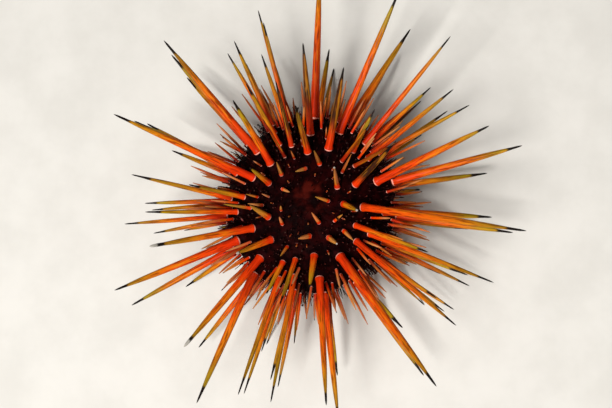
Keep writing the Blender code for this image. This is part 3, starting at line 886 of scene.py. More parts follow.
# %% The outline of the body, from the mouth's inside to the apex
SKIN_DEPTH = 0.25 * MM           # the skin lies this far inside the CAD test
SKIN_SIDES = 420
SKIN_RINGS = 226
MOUTH_RINGS = 46                 # of them, from inside the mouth to the test's edge
EDGE_ROW = 180 - math.degrees(math.asin(PERISTOME_RADIUS / TEST_RADIUS))
low_edge = ball(EDGE_ROW, 0)[2]
MOUTH_OUTLINE = (                # radius, and height over the test's edge, millimetres
    (0.10, 0.95), (1.0, 0.95), (2.05, 0.92), (2.45, 0.70), (2.52, 0.30),
    (2.62, -0.15), (2.85, -0.38), (3.15, -0.42), (3.5, -0.28), (4.1, -0.12),
    (5.0, 0.02), (6.0, 0.10), (6.8, 0.22), (7.35, 0.42), (7.62, 0.50))


def test_outline(count):
    """Radius and height of the test from its lower edge to the apex.

    r = R sin(row), z = crown cos(row), or base (-cos(row)) ** 0.75 below it.
    """
    rows = np.radians(np.linspace(EDGE_ROW - 0.5, 0.45, count))
    c = np.cos(rows)
    z = np.where(c > 0, CROWN_HEIGHT * c, -BASE_DEPTH * np.abs(c) ** BASE_FLATNESS)
    r = TEST_RADIUS * np.sin(rows)
    dr, dz = np.gradient(r), np.gradient(z)
    flat = np.hypot(dr, dz)
    return r - SKIN_DEPTH * dz / flat, AMBITUS_HEIGHT + z + SKIN_DEPTH * dr / flat


def mouth_outline():
    """The mouth's inside, its lip and the soft ring, at even steps along a line
    through the table's points, with its corners averaged away."""
    key = np.array(MOUTH_OUTLINE) * MM
    run = np.concatenate([[0], np.cumsum(np.hypot(*np.diff(key, axis=0).T))])
    t = np.linspace(0, run[-1], MOUTH_RINGS)
    r, z = np.interp(t, run, key[:, 0]), low_edge + np.interp(t, run, key[:, 1])
    for line in (r, z):
        for _ in range(2):
            line[1:-1] = 0.25 * line[:-2] + 0.5 * line[1:-1] + 0.25 * line[2:]
    return r, z


def body_outline():
    """Radii and heights from the mouth's inside up to the apex."""
    return [np.concatenate(pair) for pair in zip(
        mouth_outline(), test_outline(SKIN_RINGS - MOUTH_RINGS))]


print("mouth edge at %.1f mm" % (low_edge / MM))

# %% Heights that are laid over the body
def bell(distance, size):
    """1 at its middle, and exp(-(distance / size) ** 2) away from it."""
    return np.exp(-(distance / size) ** 2)


def soft_waves(points, size, seed):
    """Smooth uneven relief from -1 to 1: a sum of nine sine waves in space."""
    rng = np.random.default_rng(seed)
    total = np.zeros(points.shape[:-1])
    for _ in range(9):
        way = rng.normal(size=3)
        way *= 2 * np.pi / (size * rng.uniform(0.6, 1.6) * np.linalg.norm(way))
        total += np.sin(points @ way + rng.uniform(0, 6.28))
    return total / 4.5


def bare_body():
    """Points r cos a, r sin a, z of the smooth body, and its outward directions."""
    r, z = body_outline()
    a = 2 * np.pi * np.arange(SKIN_SIDES) / SKIN_SIDES
    body = np.stack([OVAL[0] * r[:, None] * np.cos(a), OVAL[1] * r[:, None] * np.sin(a),
                     np.repeat(z[:, None], SKIN_SIDES, axis=1)], axis=-1)
    body -= np.append(shift[:2], 0.0)
    across = np.roll(body, -1, axis=1) - np.roll(body, 1, axis=1)
    out = np.cross(across, np.gradient(body, axis=0))
    return body, out / np.linalg.norm(out, axis=-1, keepdims=True)


body, outward = bare_body()
from_axis = body[..., :2] + shift[:2]
body_radius = np.hypot(from_axis[..., 0], from_axis[..., 1])
body_bearing = np.degrees(np.arctan2(from_axis[..., 1], from_axis[..., 0]))
on_top = body[..., 2] > AMBITUS_HEIGHT
print("body %.1f mm across" % (2 * body_radius.max() / MM))

# %% Knobs under the spines
KNOBS = {                        # width in girths of the spine, height in millimetres
    "big": (1.25, 0.42), "small": (1.3, 0.34), "secondary": (1.45, 0.2)}


def knobs():
    """Height of all the knobs, each a bell, and how far up its knob a point is."""
    height, rise = np.zeros(body.shape[:2]), np.zeros(body.shape[:2])
    for k in range(len(spines)):
        wide, tall = KNOBS[kinds[k]]
        distance = np.linalg.norm(body - (roots[k] - SKIN_DEPTH * normals[k]), axis=-1)
        lift = bell(distance, wide * girths[k])
        rise = np.maximum(rise, lift)
        height += tall * MM * lift
    return height, rise


knob_height, skin_rise = knobs()
print("knobs up to %.2f mm high" % (knob_height.max() / MM))

# %% Plates of the apical disc
SIEVE_ZONE = 1                   # its genital plate is the sieve plate, the madreporite
GENITAL = (2.65, 1.2, 0.15)      # distance from the apex, radius and height, mm
SIEVE = (2.65, 1.45, 0.24)
OCULAR = (3.75, 0.65, 0.12)
ROUND_VENT = (0.95, 0.38, 0.09)
VENT = (0.15, 0.30, 0.12)


def apical_plates():
    """Each plate of the apical disc and its bearing."""
    plates = []
    for zone in range(ZONES):
        middle = FIRST_ZONE + ZONE_STEP * zone
        plates.append((SIEVE if zone == SIEVE_ZONE else GENITAL, middle))
        plates.append((OCULAR, middle + ZONE_STEP / 2))
    plates += [(ROUND_VENT, 40.0 * k + 11) for k in range(9)]
    return plates + [(VENT, 70.0)]


def plate_relief():
    """Height 1.15 - d ** 3 of the plates, d the distance in radii, and redness."""
    uneven = soft_waves(body, 1.4 * MM, 8)
    height, red = np.zeros_like(body_radius), np.zeros_like(body_radius)
    for (far, size, tall), bearing in apical_plates():
        b = math.radians(bearing)
        at = far * MM * np.array([math.cos(b), math.sin(b)])
        d = np.linalg.norm(from_axis - at, axis=-1) / (size * MM) * (1 + 0.22 * uneven)
        plate = on_top * np.clip(1.15 - d ** 3, 0, 1)
        height += tall * MM * plate
        red = np.maximum(red, plate * (1.0 if tall == SIEVE[2] else 0.25))
    return height, red


plate_height, plate_red = plate_relief()
print(len(apical_plates()), "plates")

# %% Redness of the crown
GLOW_MIDDLE = (1.4 * MM, 0.2 * MM)     # where light finds wine red in the disc
GLOW_REACH = 4.7 * MM
GLOW_SPOT = (2.75 * MM, 2.05 * MM)     # and its brightest spot
SPOT_REACH = 0.95 * MM

patchy = soft_waves(body, 2.6 * MM, 9)
from_glow = np.linalg.norm(from_axis - np.array(GLOW_MIDDLE), axis=-1)
from_spot = np.linalg.norm(from_axis - np.array(GLOW_SPOT), axis=-1)
skin_red = 0.45 * plate_red + on_top * (
    (0.50 + 0.42 * patchy) * np.exp(-(from_glow / GLOW_REACH) ** 3)
    + 0.85 * bell(from_spot, SPOT_REACH))
print("redness up to %.2f" % skin_red.max())

# %% Grooves of the gores and folds round the mouth
GROOVE_WIDTH, GROOVE_DEPTH = 0.22 * MM, 0.07 * MM
FOLD_STEP, FOLD_HEIGHT = 0.33 * MM, 0.05 * MM
LIP_RADIUS, LIP_WIDTH, LIP_HEIGHT = 3.0 * MM, 0.5 * MM, 0.07 * MM


def groove_depth():
    """Pores and the joints between plates run from top to mouth on each side of a
    narrow gore: a bell across a wavy line of constant bearing."""
    depth = np.zeros_like(body_radius)
    swing = 0.5 * np.sin(np.arange(body.shape[0])[:, None] * 0.9)
    for zone in range(ZONES):
        for edge in (-AMBULACRUM_HALF, 0.0, AMBULACRUM_HALF, ZONE_STEP / 2):
            line = FIRST_ZONE + ZONE_STEP * (zone + 0.5) + edge
            off = (body_bearing - line + swing + 180) % 360 - 180
            depth += GROOVE_DEPTH * bell(np.radians(off) * body_radius, GROOVE_WIDTH)
    return depth * (1 - skin_rise) * (body_radius > 5 * MM)


def mouth_folds():
    """Fine folds, sine waves of the radius, and thirty ripples round the lips."""
    a = np.radians(body_bearing)
    below = (~on_top) & (body_radius < PERISTOME_RADIUS) & (body_radius > MOUTH_RADIUS)
    folds = FOLD_HEIGHT * np.sin(body_radius / FOLD_STEP + 0.8 * np.sin(10 * a))
    lips = LIP_HEIGHT * bell(body_radius - LIP_RADIUS, LIP_WIDTH) * np.cos(30 * a)
    return below * (folds + lips)


skin_height = (0.05 * MM * soft_waves(body, 3.5 * MM, 5) + knob_height + plate_height
               - groove_depth() + mouth_folds())
skin_points = body + skin_height[..., None] * outward
print("skin grid", skin_points.shape[:2], "from", np.round(skin_points.min((0, 1)) / MM, 1),
      "to", np.round(skin_points.max((0, 1)) / MM, 1))

# %% [markdown]
# ### The skin's finish
#
# Seen from above the skin is almost black, with a deep wine red where the light
# finds the plates of the apical disc. It is matte and finely granular. The base
# colour goes from black to wine by the redness that the mesh carries, larger
# noise makes it uneven, and small cells, as in skin that is packed with glands,
# give the bump.

# %% Skin finish
SPECK_RED = (0.030, 0.004, 0.004)
SKIN_DARK = (0.0032, 0.0004, 0.0005)
SKIN_WINE = (0.0150, 0.0010, 0.0011)
SKIN_GLOW = (0.050, 0.0040, 0.0022)
COLLAR_DARK = (0.0035, 0.0008, 0.0011)
COLLAR_WINE = (0.016, 0.0018, 0.0024)
COLLAR_GLOW = (0.06, 0.006, 0.005)


def skin_finish(name, dark, wine, glow):
    """Dark to wine by a large noise, then glow by redness, and finely granular."""
    f = Finish(name, 0.62, 0.008)
    place = f.place()
    blotch = f.noise(place, 420, 3.0, 0.6)
    grain = f.noise(place, 2600, 2.0, 0.5)
    cells = f.add("ShaderNodeTexVoronoi", Scale=1500.0)
    f.feed(place, cells.inputs["Vector"])
    base = f.mix(f.span(blotch, 0.40, 0.72), dark, wine)
    lit = f.mix(f.span(f.times(f.mark("red"), blotch), 0.12, 0.62), base, glow)
    f.show("Base Color", f.mix(f.times(f.span(grain, 0.66, 0.80), 0.30), lit, SPECK_RED))
    bumps = f.bump(f.span(cells.outputs["Distance"], 0.0, 0.6), 0.06 * MM, 0.6)
    f.show("Normal", f.bump(grain, 0.03 * MM, 0.5, bumps))
    f.show("Roughness", f.span(grain, 0.3, 0.8, 0.48, 0.68))
    return f.material


test_finish = skin_finish("dark_skin", SKIN_DARK, SKIN_WINE, SKIN_GLOW)
collar_finish = skin_finish("collar_skin", COLLAR_DARK, COLLAR_WINE, COLLAR_GLOW)
print("skin finishes:", test_finish.name, collar_finish.name)

# %% Make the skin
gores = [kind + str(k + 1) for kind in ("interambulacrum_", "ambulacrum_")
         for k in range(ZONES)]
test_part = closed_tubes(
    skin_points[None], skin_points[0].mean(axis=0)[None],
    skin_points[-1].mean(axis=0)[None], np.array([[0.0, 0.0, 1.0, 1.0]]),
    {"red": skin_red[None]})
make_piece("test_skin", [test_part], test_finish, "skin_dark_red",
           gores + ["apical_disc", "peristome"])

# %% [markdown]
# ## The primary spines
#
# A primary spine is one crystal of lime under a film of skin. From the root up
# it has a cup that fits the knob of the test, a milled ring where the muscles
# hold, a short neck, and a long shaft with fine ribs that thins to the point.
# The lowest ones are worn blunt, because the animal stands and walks on them, and
# a few by the apex end in a worn white point.
#
# The shape is a profile carried along a straight line. The profile is a table of
# heights and radii near the ring and a power curve for the shaft. The ribs are
# one cosine wave round it, deepest on the ring.

# %% Which spines have a look of their own
WORN_ENDS = (                    # row angle and bearing of the spines worn white
    (23.0, 13.5), (26.0, 351.7), (30.0, 301.5), (35.0, 229.5), (41.3, 207.7), (53.5, 229.5))
DARK_SPINES = (                  # and of those that are brown-black to near the ring
    (45.9, 85.5), (36.7, 63.7), (37.0, 105.0), (107.3, 44.2), (35.2, 13.5))
BROWN_SPINES = (                 # brown in the outer half
    (30.0, 85.5), (23.0, 13.5), (24.0, 63.7), (21.5, 135.7))
DUSKY_SPINES = (                 # dark red small ones of the crown
    (30.1, 33.0), (35.3, 44.2), (30.9, 116.2), (27.2, 105.0), (24.1, 177.0),
    (41.0, 33.0))
BROWN_SHARE = 0.65               # of the darkness of the dark ones
GRAIN_DUSK = 1.3                 # how dusky the grains and the thin ones beside them are


def nearest_spines(places):
    """1.0 for the primary spine nearest to each place, else 0."""
    found = np.zeros(len(spines))
    found[[nearest(row, bearing) for row, bearing in places]] = 1
    return found


worn_ends = nearest_spines(WORN_ENDS)
dark_ones = nearest_spines(DARK_SPINES) + BROWN_SHARE * nearest_spines(BROWN_SPINES)
dusky_ones = nearest_spines(DUSKY_SPINES) + GRAIN_DUSK * (young | short_thin)
print("worn white %d, dark or brown %d, dusky %d" % (
    (worn_ends > 0).sum(), (dark_ones > 0).sum(), (dusky_ones > 0).sum()))

# %% The profile of a spine
RING_PROFILE = (                 # height in ring heights, radius in ring radii,
    (-0.55, 0.40, 0.0, 0.0),     # the depth of the milling, and how far it is shaft
    (-0.05, 0.46, 0.0, 0.0), (0.12, 0.58, 0.0, 0.0), (0.27, 0.74, 0.005, 0.0),
    (0.44, 0.88, 0.02, 0.0), (0.62, 0.965, 0.05, 0.0), (0.82, 1.0, 0.06, 0.0),
    (1.02, 0.99, 0.06, 0.05), (1.22, 0.95, 0.045, 0.3), (1.46, 0.91, 0.03, 0.65),
    (1.74, 0.87, 0.03, 0.9), (2.10, 0.85, 0.03, 1.0))
SHAFT_PLACES = (0.06, 0.16, 0.28, 0.40, 0.51, 0.60, 0.68, 0.75, 0.81, 0.86, 0.90, 0.935,
                0.965, 0.985, 1.0)
TIP_ROUND = 0.08 * MM            # the last ring stops this far short of the point
RIB_DEPTH = 0.03                 # of the radius, along the shaft
WORN_ROD, FOOT_ROD, POINT_ROD = 0.36, 0.28, 0.26    # least radius, in girths, of a
                                 # worn end, of a standing spine and of a sharp one


def stoutness(length):
    """From 0 for a short spine of the apex, 6 mm, to 1 for one of 20 mm."""
    x = share_between(length / MM, 6.0, 20.0)
    return x * x * (3 - 2 * x)


def ring_height(girth):
    """The ring stands lower on a thin spine: 0.9 mm times 0.45 to 1."""
    return RING_HEIGHT * (0.45 + 0.55 * np.clip(girth / BIG_SPINE_RADIUS, 0, 1))


def spine_profile(length, girth, foot, worn):
    """Distances from the root, radii and rib depths, for many spines at once.

    Shaft radius = neck (1 - taper u) (1 - u ** p), and never less than a thin rod
    with a round end. A long spine has taper 0.36 and p 6.5, a short one of the apex
    has taper 0.45 and p 5. The neck and the ring differ a little from spine to
    spine, by a sine of the length.
    """
    height, wide, milling, is_shaft = np.array(RING_PROFILE).T
    u = np.array(SHAFT_PLACES)
    ring = ring_height(girth)[:, None]
    stout = stoutness(length)[:, None]
    own = 0.04 * np.sin(977.0 * length[:, None] / MM)
    girth = (girth * (1 - 0.18 * share_between(length / MM, 7.0, 4.5)))[:, None]

    neck = (0.90 - 0.08 * stout + own) * girth
    full = (1 - (0.45 - 0.09 * stout) * u) * (1 - u ** (5.0 + 1.5 * stout))
    rod = np.where(worn[:, None], WORN_ROD,
                   np.where(foot[:, None], FOOT_ROD, POINT_ROD - 0.02 * stout))
    shaft = np.maximum(neck * full, girth * np.maximum(rod * (1 - u ** 60), 0.05))
    ringed = (1.04 - 0.09 * stout + own) * girth * wide
    ringed = ringed * (1 - is_shaft) + is_shaft * np.minimum(
        ringed, neck * (1 + 0.25 * (1 - is_shaft)))

    last = height[-1] * ring
    end = (length - np.where(foot, 0.0, TIP_ROUND))[:, None]
    t = np.concatenate([height * ring, last + (end - last) * u], axis=1)
    r = np.concatenate([ringed, shaft], axis=1)
    ribs = np.concatenate([milling, RIB_DEPTH * (1 - u ** 4)])
    return t, r, ribs, ring


def stand_level(points, axis, foot):
    """Slide what would pass through the floor back up along its spine."""
    below = foot[:, None, None] & (points[..., 2] < 0)
    back_up = np.where(below, -points[..., 2] / np.minimum(axis[:, None, None, 2], -0.2), 0.0)
    return points + back_up[..., None] * axis[:, None, None]


print("a long spine's ring is %.2f mm high" % (ring_height(BIG_SPINE_RADIUS) / MM))

# %% The colour marks of a spine
TURN_LEAST, TURN_MOST = 0.10, 0.70         # where along it red may turn to olive
SECONDARY_TURN = 0.55
# Painted light: spines that lean to the right and to the front of the picture start their tone
# this far on, so they turn orange sooner.
PAINTED_LIGHT_ORANGE = 0.09              # start of the tone on the spines right and in front
SECONDARY_ENDS = (0.66, 0.74, 0.92)        # last tone: most of these have no black point
ENDS_CHANCE = (0.45, 0.40, 0.15)
# Painted shade: secondaries of the fringe and of the lower rows are painted this dark red.
FRINGE_PAINTED_SHADE = 1.2                # how dark red a secondary in the fringe's shade is
GRAIN_STEP = 9 * MM              # streaks are this long


def red_ends(length, thin, rng):
    """Share of a spine that is red: more on a long one, and the same on all thin."""
    share = np.clip(0.16 + 0.42 * (length / MM - 6) / 24, 0.14, 0.60)
    share = np.where(thin, SECONDARY_TURN, share)
    return np.clip(share + rng.uniform(-0.07, 0.07, len(length)), TURN_LEAST, TURN_MOST)


def streak_places(t, count, sides, rng):
    """Places in a noise of the streaks: a circle round the spine, drawn out along
    it, and a random start for each spine."""
    spin = 2 * np.pi * np.arange(sides) / sides
    grain = np.stack(np.broadcast_arrays(np.cos(spin), np.sin(spin),
                                         (t / GRAIN_STEP)[..., None]), axis=-1)
    return grain + rng.uniform(-40, 40, (count, 1, 1, 3))


def spine_marks(which, t, ring, sides, seed):
    """What the spine finish reads, ring by ring.

    tone runs from 0 at the root to 1 at the point, and passes 0.5 where the red
    turns to olive: near half way on a long spine and low on a short one.
    """
    rng = np.random.default_rng(seed)
    count, length, rows = len(which), lengths[which], spine_rows[which]
    east, north = axes[which][:, 0], axes[which][:, 1]
    thin, stout = kinds[which] == "secondary", stoutness(length)
    turn = red_ends(length, thin, rng)[:, None]
    f = np.clip((t - 1.5 * ring) / (length[:, None] - 1.5 * ring), 0, 1)
    # Painted light: spines that lean to the right and to the front turn orange sooner.
    begin = (PAINTED_LIGHT_ORANGE * stout * np.clip(east - 0.6 * north, 0, 1))[:, None]
    tone = np.where(f < turn, begin + (0.5 - begin) * f / turn,
                    0.5 + 0.5 * (f - turn) / (1 - turn))

    # Short and standing spines end before the tone is black, and so do most
    # secondaries.
    last = np.interp(length / MM, (5, 18), (0.89, 1.0)) - 0.06 * standing[which]
    last = np.where(thin, rng.choice(SECONDARY_ENDS, count, p=ENDS_CHANCE), last)
    small = share_between(length / MM, 8.0, 5.5) * rng.choice((0.5, 1.0), count)
    last = np.where(thin, last, last - 0.24 * small)[:, None]
    tone = np.where(tone > 0.5, 0.5 + (tone - 0.5) * (last - 0.5) / 0.5, tone)

    # Spines that lean to the top of the picture, away from the key lamp, get painted shade as
    # a dusky red.
    # Some spines are also dusky red by chance, and many secondaries of the fringe and of the
    # lower rows get painted shade as dark red.
    away = np.clip(north, 0, 1) * (east < 0.3)
    dark_red_and_shade = np.clip((0.65 - 0.30 * stout) * away + rng.uniform(-0.25, 0.30, count), 0, 0.7)
    fringe = share_between(rows, 45, 65)
    shady = 0.50 * fringe + 0.35 * share_between(rows, 70, 90)
    pale = np.where(thin, 1 - 0.5 * fringe,
                    (0.7 - 0.3 * young[which]) * small * (1 - 0.8 * dark_ones[which]))
    dark_red_and_shade = np.where(thin & (rng.random(count) < shady), FRINGE_PAINTED_SHADE,
                    dark_red_and_shade + dusky_ones[which])
    marks = {"tone": tone[..., None], "collar": (t / ring)[..., None],
             "far": (t / length[:, None])[..., None],
             "grain": streak_places(t, count, sides, rng)}
    for name, value in (("dark_red_and_shade", dark_red_and_shade), ("worn", worn_ends[which]), ("pale", pale),
                        ("dark", dark_ones[which]), ("tint", rng.random(count))):
        marks[name] = value[:, None, None]
    return marks


# %% Primary spines of some of the gores
def primaries(which, sides, ribs, cells, seed):
    """Ribbed tubes along straight lines, closed at the cup and at the point."""
    foot = standing[which]
    t, r, depth, ring = spine_profile(lengths[which], girths[which], foot, worn_ends[which])
    axis = axes[which]
    centre = roots[which][:, None] + axis[:, None] * t[..., None]
    wave = depth[:, None] * np.cos(ribs * 2 * np.pi * np.arange(sides) / sides)
    points = rings_round(centre, np.broadcast_to(axis[:, None], centre.shape), r, sides,
                         wave)
    points = stand_level(points, axis, foot)
    end = np.where(foot[:, None], points[:, -1].mean(axis=1), reach[which])
    return closed_tubes(points, centre[:, 0] - axis * 0.1 * MM, end, cells,
                        spine_marks(which, t, ring, sides, seed))


print("longest spine %.1f mm, shortest primary %.1f mm" % (
    lengths.max() / MM, lengths[kinds != "secondary"].min() / MM))

# %% [markdown]
# ## The secondary spines
#
# Between the primaries stand some two hundred and fifty thin secondaries. They
# are the same idea with far fewer faces, because a shape that is repeated
# hundreds of times has to stay cheap: eight rings of eight sides each.

# %% Secondary spines
THIN_PROFILE = ((-0.4, 0.50), (0.25, 0.62), (0.75, 1.0), (1.25, 0.84))
THIN_PLACES = (0.45, 0.78, 0.93, 1.0)
THIN_SIDES = 8
THIN_RING = 0.55 * MM            # height of the milled ring


def secondaries(which, cells, seed):
    """Plain tubes with a small ring: radius 0.92 girth (1 - u / 4) (1 - u ** 8)."""
    (height, wide), u = np.array(THIN_PROFILE).T, np.array(THIN_PLACES)
    length, girth, axis = lengths[which][:, None], girths[which][:, None], axes[which]
    ring = np.full_like(length, THIN_RING)
    last = height[-1] * ring
    t = np.concatenate([height * ring, last + (length - TIP_ROUND - last) * u], axis=1)
    shaft = girth * np.maximum(0.92 * (1 - u / 4) * (1 - u ** 8), POINT_ROD)
    centre = roots[which][:, None] + axis[:, None] * t[..., None]
    points = rings_round(centre, np.broadcast_to(axis[:, None], centre.shape),
                         np.concatenate([girth * wide, shaft], axis=1), THIN_SIDES)
    return closed_tubes(points, centre[:, 0] - axis * 0.05 * MM, reach[which], cells,
                        spine_marks(which, t, ring, THIN_SIDES, seed))


print("secondaries:", int((kinds == "secondary").sum()))

# %% [markdown]
# ### The spines' finish
#
# A long spine starts red-orange at the ring, turns orange, then olive, and ends in
# a dark point, and a short one turns sooner. The rim of the ring is pale pink.
# Lengthwise streaks follow the ribs: the noise reads a direction that runs round
# the spine and is stretched along it, so it has no seam and doesn't slide. On the
# few worn spines the point is bare white lime.

# %% Spine finish
SPINE_TONES = (
    (0.00, (0.640, 0.026, 0.0012)), (0.20, (0.710, 0.052, 0.0014)),
    (0.42, (0.690, 0.105, 0.002)), (0.56, (0.580, 0.145, 0.003)),
    (0.68, (0.420, 0.165, 0.005)), (0.80, (0.280, 0.150, 0.007)),
    (0.87, (0.160, 0.098, 0.008)))
RIM_PINK = (0.95, 0.44, 0.34)
# Dusky red of some spines, also used as painted shade on spines that lean away from the key
# lamp and in the fringe.
SHADE_AND_DUSK_RED = (0.190, 0.008, 0.002)
OLIVE = (0.290, 0.150, 0.005)
YELLOW_GREEN = (0.330, 0.255, 0.006)
POINT_BLACK = (0.007, 0.004, 0.003)
STREAK_BROWN = (0.085, 0.012, 0.0015)
STREAK_GOLD = (0.640, 0.230, 0.005)
CREAM_PINK = (0.640, 0.250, 0.110)
LIME_WHITE = (0.44, 0.42, 0.37)
LIME_GREY = (0.12, 0.11, 0.10)
BURNT_BROWN = (0.030, 0.010, 0.004)
CUP_DARK = (0.020, 0.003, 0.004)


def spine_finish(name, olive_share, duller):
    """Colour by tone, then pigments and painted shade, streaks, cream, the point and the
    ring's rim.
    """
    f = Finish(name, 0.38, 0.10)
    grain = f.mark("grain", "Vector")
    band = f.noise(grain, 0.9, 2.0, 0.5)
    streak = f.noise(grain, 2.4, 2.0, 0.55)
    fine = f.noise(grain, 7.0, 2.0, 0.6)
    along, tint, collar, worn, dark_red_and_shade, dark, pale, far = (
        f.mark(m) for m in ("tone", "tint", "collar", "worn", "dark_red_and_shade", "dark", "pale", "far"))
    tone = f.math("ADD", f.math("ADD", along, f.sway(streak, 0.26)), f.sway(tint, 0.22), True)
    colour = f.ramp(tone, SPINE_TONES)
    # Olive spreads down some spines, others turn yellow-green before the point,
    # some are a dusky red, partly painted shade, and a few are dark all the way.
    olive = f.times(f.span(f.math("ADD", tint, along), 0.9, 1.5), olive_share)
    colour = f.mix(olive, colour, OLIVE)
    green = f.times(f.span(f.math("FRACT", f.times(tint, 7.3)), 0.5, 0.8),
                    f.span(along, 0.60, 0.82))
    colour = f.mix(f.times(green, 0.65), colour, YELLOW_GREEN)
    colour = f.mix(f.times(dark_red_and_shade, duller), colour, SHADE_AND_DUSK_RED)
    colour = f.mix(f.times(dark, f.span(along, 0.05, 0.45)), colour, BURNT_BROWN)
    # Gold and brown bands and thin brown lines run along the shaft.
    shaft = f.span(along, 0.10, 0.30)
    gold = f.times(f.span(band, 0.50, 0.62), shaft)
    colour = f.mix(f.times(gold, 0.45), colour, STREAK_GOLD)
    brown = f.times(f.span(streak, 0.50, 0.36), f.span(along, 0.0, 0.25, 0.25, 0.72))
    colour = f.mix(brown, colour, STREAK_BROWN)
    bright = f.times(f.span(streak, 0.58, 0.70), shaft)
    colour = f.mix(f.times(bright, 0.45), colour, STREAK_GOLD)
    colour = f.mix(f.span(fine, 0.46, 0.26, 0.0, 0.45), colour, STREAK_BROWN)
    # Small spines fade to a pinkish cream, some of them from the ring on.
    cream = f.math("ADD", f.span(along, 0.30, 0.62, 0.0, 0.55),
                   f.span(tint, 0.60, 0.85, 0.0, 0.35))
    colour = f.mix(f.times(pale, cream), colour, CREAM_PINK)
    # The point goes black within a short way.
    ragged = f.math("ADD", f.math("ADD", along, f.sway(fine, 0.07)), f.sway(tint, 0.06))
    colour = f.mix(f.span(ragged, 0.842, 0.870), colour, POINT_BLACK)
    rim = f.times(f.span(collar, 0.34, 0.46), f.span(collar, 0.82, 0.64))
    colour = f.mix(f.times(rim, 0.92), colour, RIM_PINK)
    colour = f.mix(f.span(collar, 0.34, 0.22), colour, CUP_DARK)
    end = f.span(f.math("ADD", far, f.sway(fine, 0.05)), 0.925, 0.940)
    lime = f.mix(f.span(fine, 0.35, 0.55), LIME_GREY, LIME_WHITE)
    f.show("Base Color", f.mix(f.times(worn, end), colour, lime))
    f.show("Roughness", f.span(streak, 0.25, 0.75, 0.28, 0.48))
    f.show("Normal", f.bump(streak, 0.07 * MM, 0.5, f.bump(fine, 0.04 * MM, 0.5)))
    return f.material


big_finish = spine_finish("orange_spine", 0.35, 0.55)
small_finish = spine_finish("rust_spine", 0.75, 0.70)
print("spine finishes:", big_finish.name, small_finish.name)

# %% Make the spines, gore by gore
for k, gore in enumerate(gores):
    mine = np.nonzero(homes == gore)[0]
    thick = mine[kinds[mine] != "secondary"]
    thin = mine[kinds[mine] == "secondary"]
    cells = cell_grid(len(mine))
    sides, finish, slot = ((48, big_finish, "spine_orange") if gore.startswith("inter")
                           else (40, small_finish, "spine_rust"))
    seed = 7 * k + 3
    parts = [primaries(thick, sides, sides // 2, cells[:len(thick)], seed),
             secondaries(thin, cells[len(thick):], seed + 1)]
    make_piece("spines_" + gore, parts, finish, slot, [gore])

# %% [markdown]
# ## Collars of muscle
#
# A spine turns on its knob like a joystick. A cone of muscle and catch tissue
# runs from the skin up to the underside of the ring, dark as the skin itself.
# Each collar is a few rings whose directions turn from the skin's outward one at
# the foot to the spine's own at the top.

# %% Muscle collars
COLLAR_WAY = (0.0, 0.12, 0.35, 0.7, 1.0, 1.0)            # from the skin to the ring
COLLAR_RADIUS = (1.55, 1.34, 1.02, 0.80, 0.66, 0.40)     # in girths of the spine
COLLAR_LIFT = (-0.34, -0.16, 0.02, 0.20, 0.34, 0.30)     # in ring heights


def collars(which, sides, seed):
    """Low cones: ring directions go from the skin's to the spine's, and each ring
    has small ripples, one for every three sides."""
    way = np.array(COLLAR_WAY)[:, None]
    axis = normals[which][:, None] * (1 - way) + axes[which][:, None] * way
    axis /= np.linalg.norm(axis, axis=-1, keepdims=True)
    ring = np.where(kinds[which] == "secondary", THIN_RING, ring_height(girths[which]))
    lift = np.array(COLLAR_LIFT) * ring[:, None]
    radius = np.array(COLLAR_RADIUS) * girths[which][:, None]
    centre = roots[which][:, None] + axis * lift[..., None]
    rng = np.random.default_rng(seed)
    a = 2 * np.pi * np.arange(sides) / sides
    wave = 0.05 * np.cos(a * (sides // 3) + rng.uniform(0, 6, (len(which), 1, 1)))
    points = rings_round(centre, axis, radius, sides, wave)
    return closed_tubes(points, centre[:, 0], centre[:, -1],
                        root_patches(spine_rows[which], spine_bearings[which]),
                        {"red": np.zeros((1, 1, 1))})


make_piece("muscle_collars",
           [collars(np.nonzero(kinds != "secondary")[0], 18, 1),
            collars(np.nonzero(kinds == "secondary")[0], 8, 2)],
           collar_finish, "skin_maroon")

# %% [markdown]
# ## What grows between the spines
#
# The skin between the roots isn't bare. Hundreds of miliary spines, about a
# millimetre long, stand there, with pedicellariae among them: tiny pincers on
# stalks that keep the skin clean. Along the narrow gores, tube feet come out in
# rows, soft dark tubes that end in a sucker. From above they show as pale dots
# and dark threads.
#
# Their places come from a spiral that spreads points evenly over a ball. Points
# that would fall in a spine's root are left out.

# %% Points of the test for whole arrays
def surface_points(row, bearing):
    """The formula of ball for arrays of row angles and bearings."""
    u, a = np.radians(row), np.radians(bearing)
    c = np.cos(u)
    z = np.where(c > 0, CROWN_HEIGHT * c, -BASE_DEPTH * np.abs(c) ** BASE_FLATNESS)
    r = TEST_RADIUS * np.sin(u)
    return np.stack([OVAL[0] * r * np.cos(a), OVAL[1] * r * np.sin(a),
                     AMBITUS_HEIGHT + z], axis=-1) - shift


def surface_normals(row, bearing):
    """Outward directions there, from short chords."""
    along = surface_points(row + 0.5, bearing) - surface_points(row - 0.5, bearing)
    across = surface_points(row, bearing + 0.5) - surface_points(row, bearing - 0.5)
    n = np.cross(along, across)
    return n / np.linalg.norm(n, axis=-1, keepdims=True)


def space_round(row, bearing, share):
    """Distance of each place to the nearest root, less a share of its girth."""
    place = surface_points(row, bearing)
    far = np.linalg.norm(place[:, None] - roots[None], axis=2)
    return (far - share * girths[None]).min(axis=1)


# %% Even places over the test
GOLDEN_ANGLE = 137.508
GROWTH_ROWS = (7.0, 166.0)       # small growths stand between these rows


def free_places(count, seed, clear):
    """Row angles and bearings of a golden-angle spiral, kept clear of all roots:
    row k has cos(row) = 1 - 2 k / count and the bearing is k golden angles."""
    rng = np.random.default_rng(seed)
    k = np.arange(count) + 0.5
    row = np.degrees(np.arccos(1 - 2 * k / count)) + rng.uniform(-2, 2, count)
    bearing = (k * GOLDEN_ANGLE + rng.uniform(-3, 3, count)) % 360
    keep = (row > GROWTH_ROWS[0]) & (row < GROWTH_ROWS[1])
    row, bearing = row[keep], bearing[keep]
    keep = space_round(row, bearing, 1.25) > clear
    return row[keep], bearing[keep]


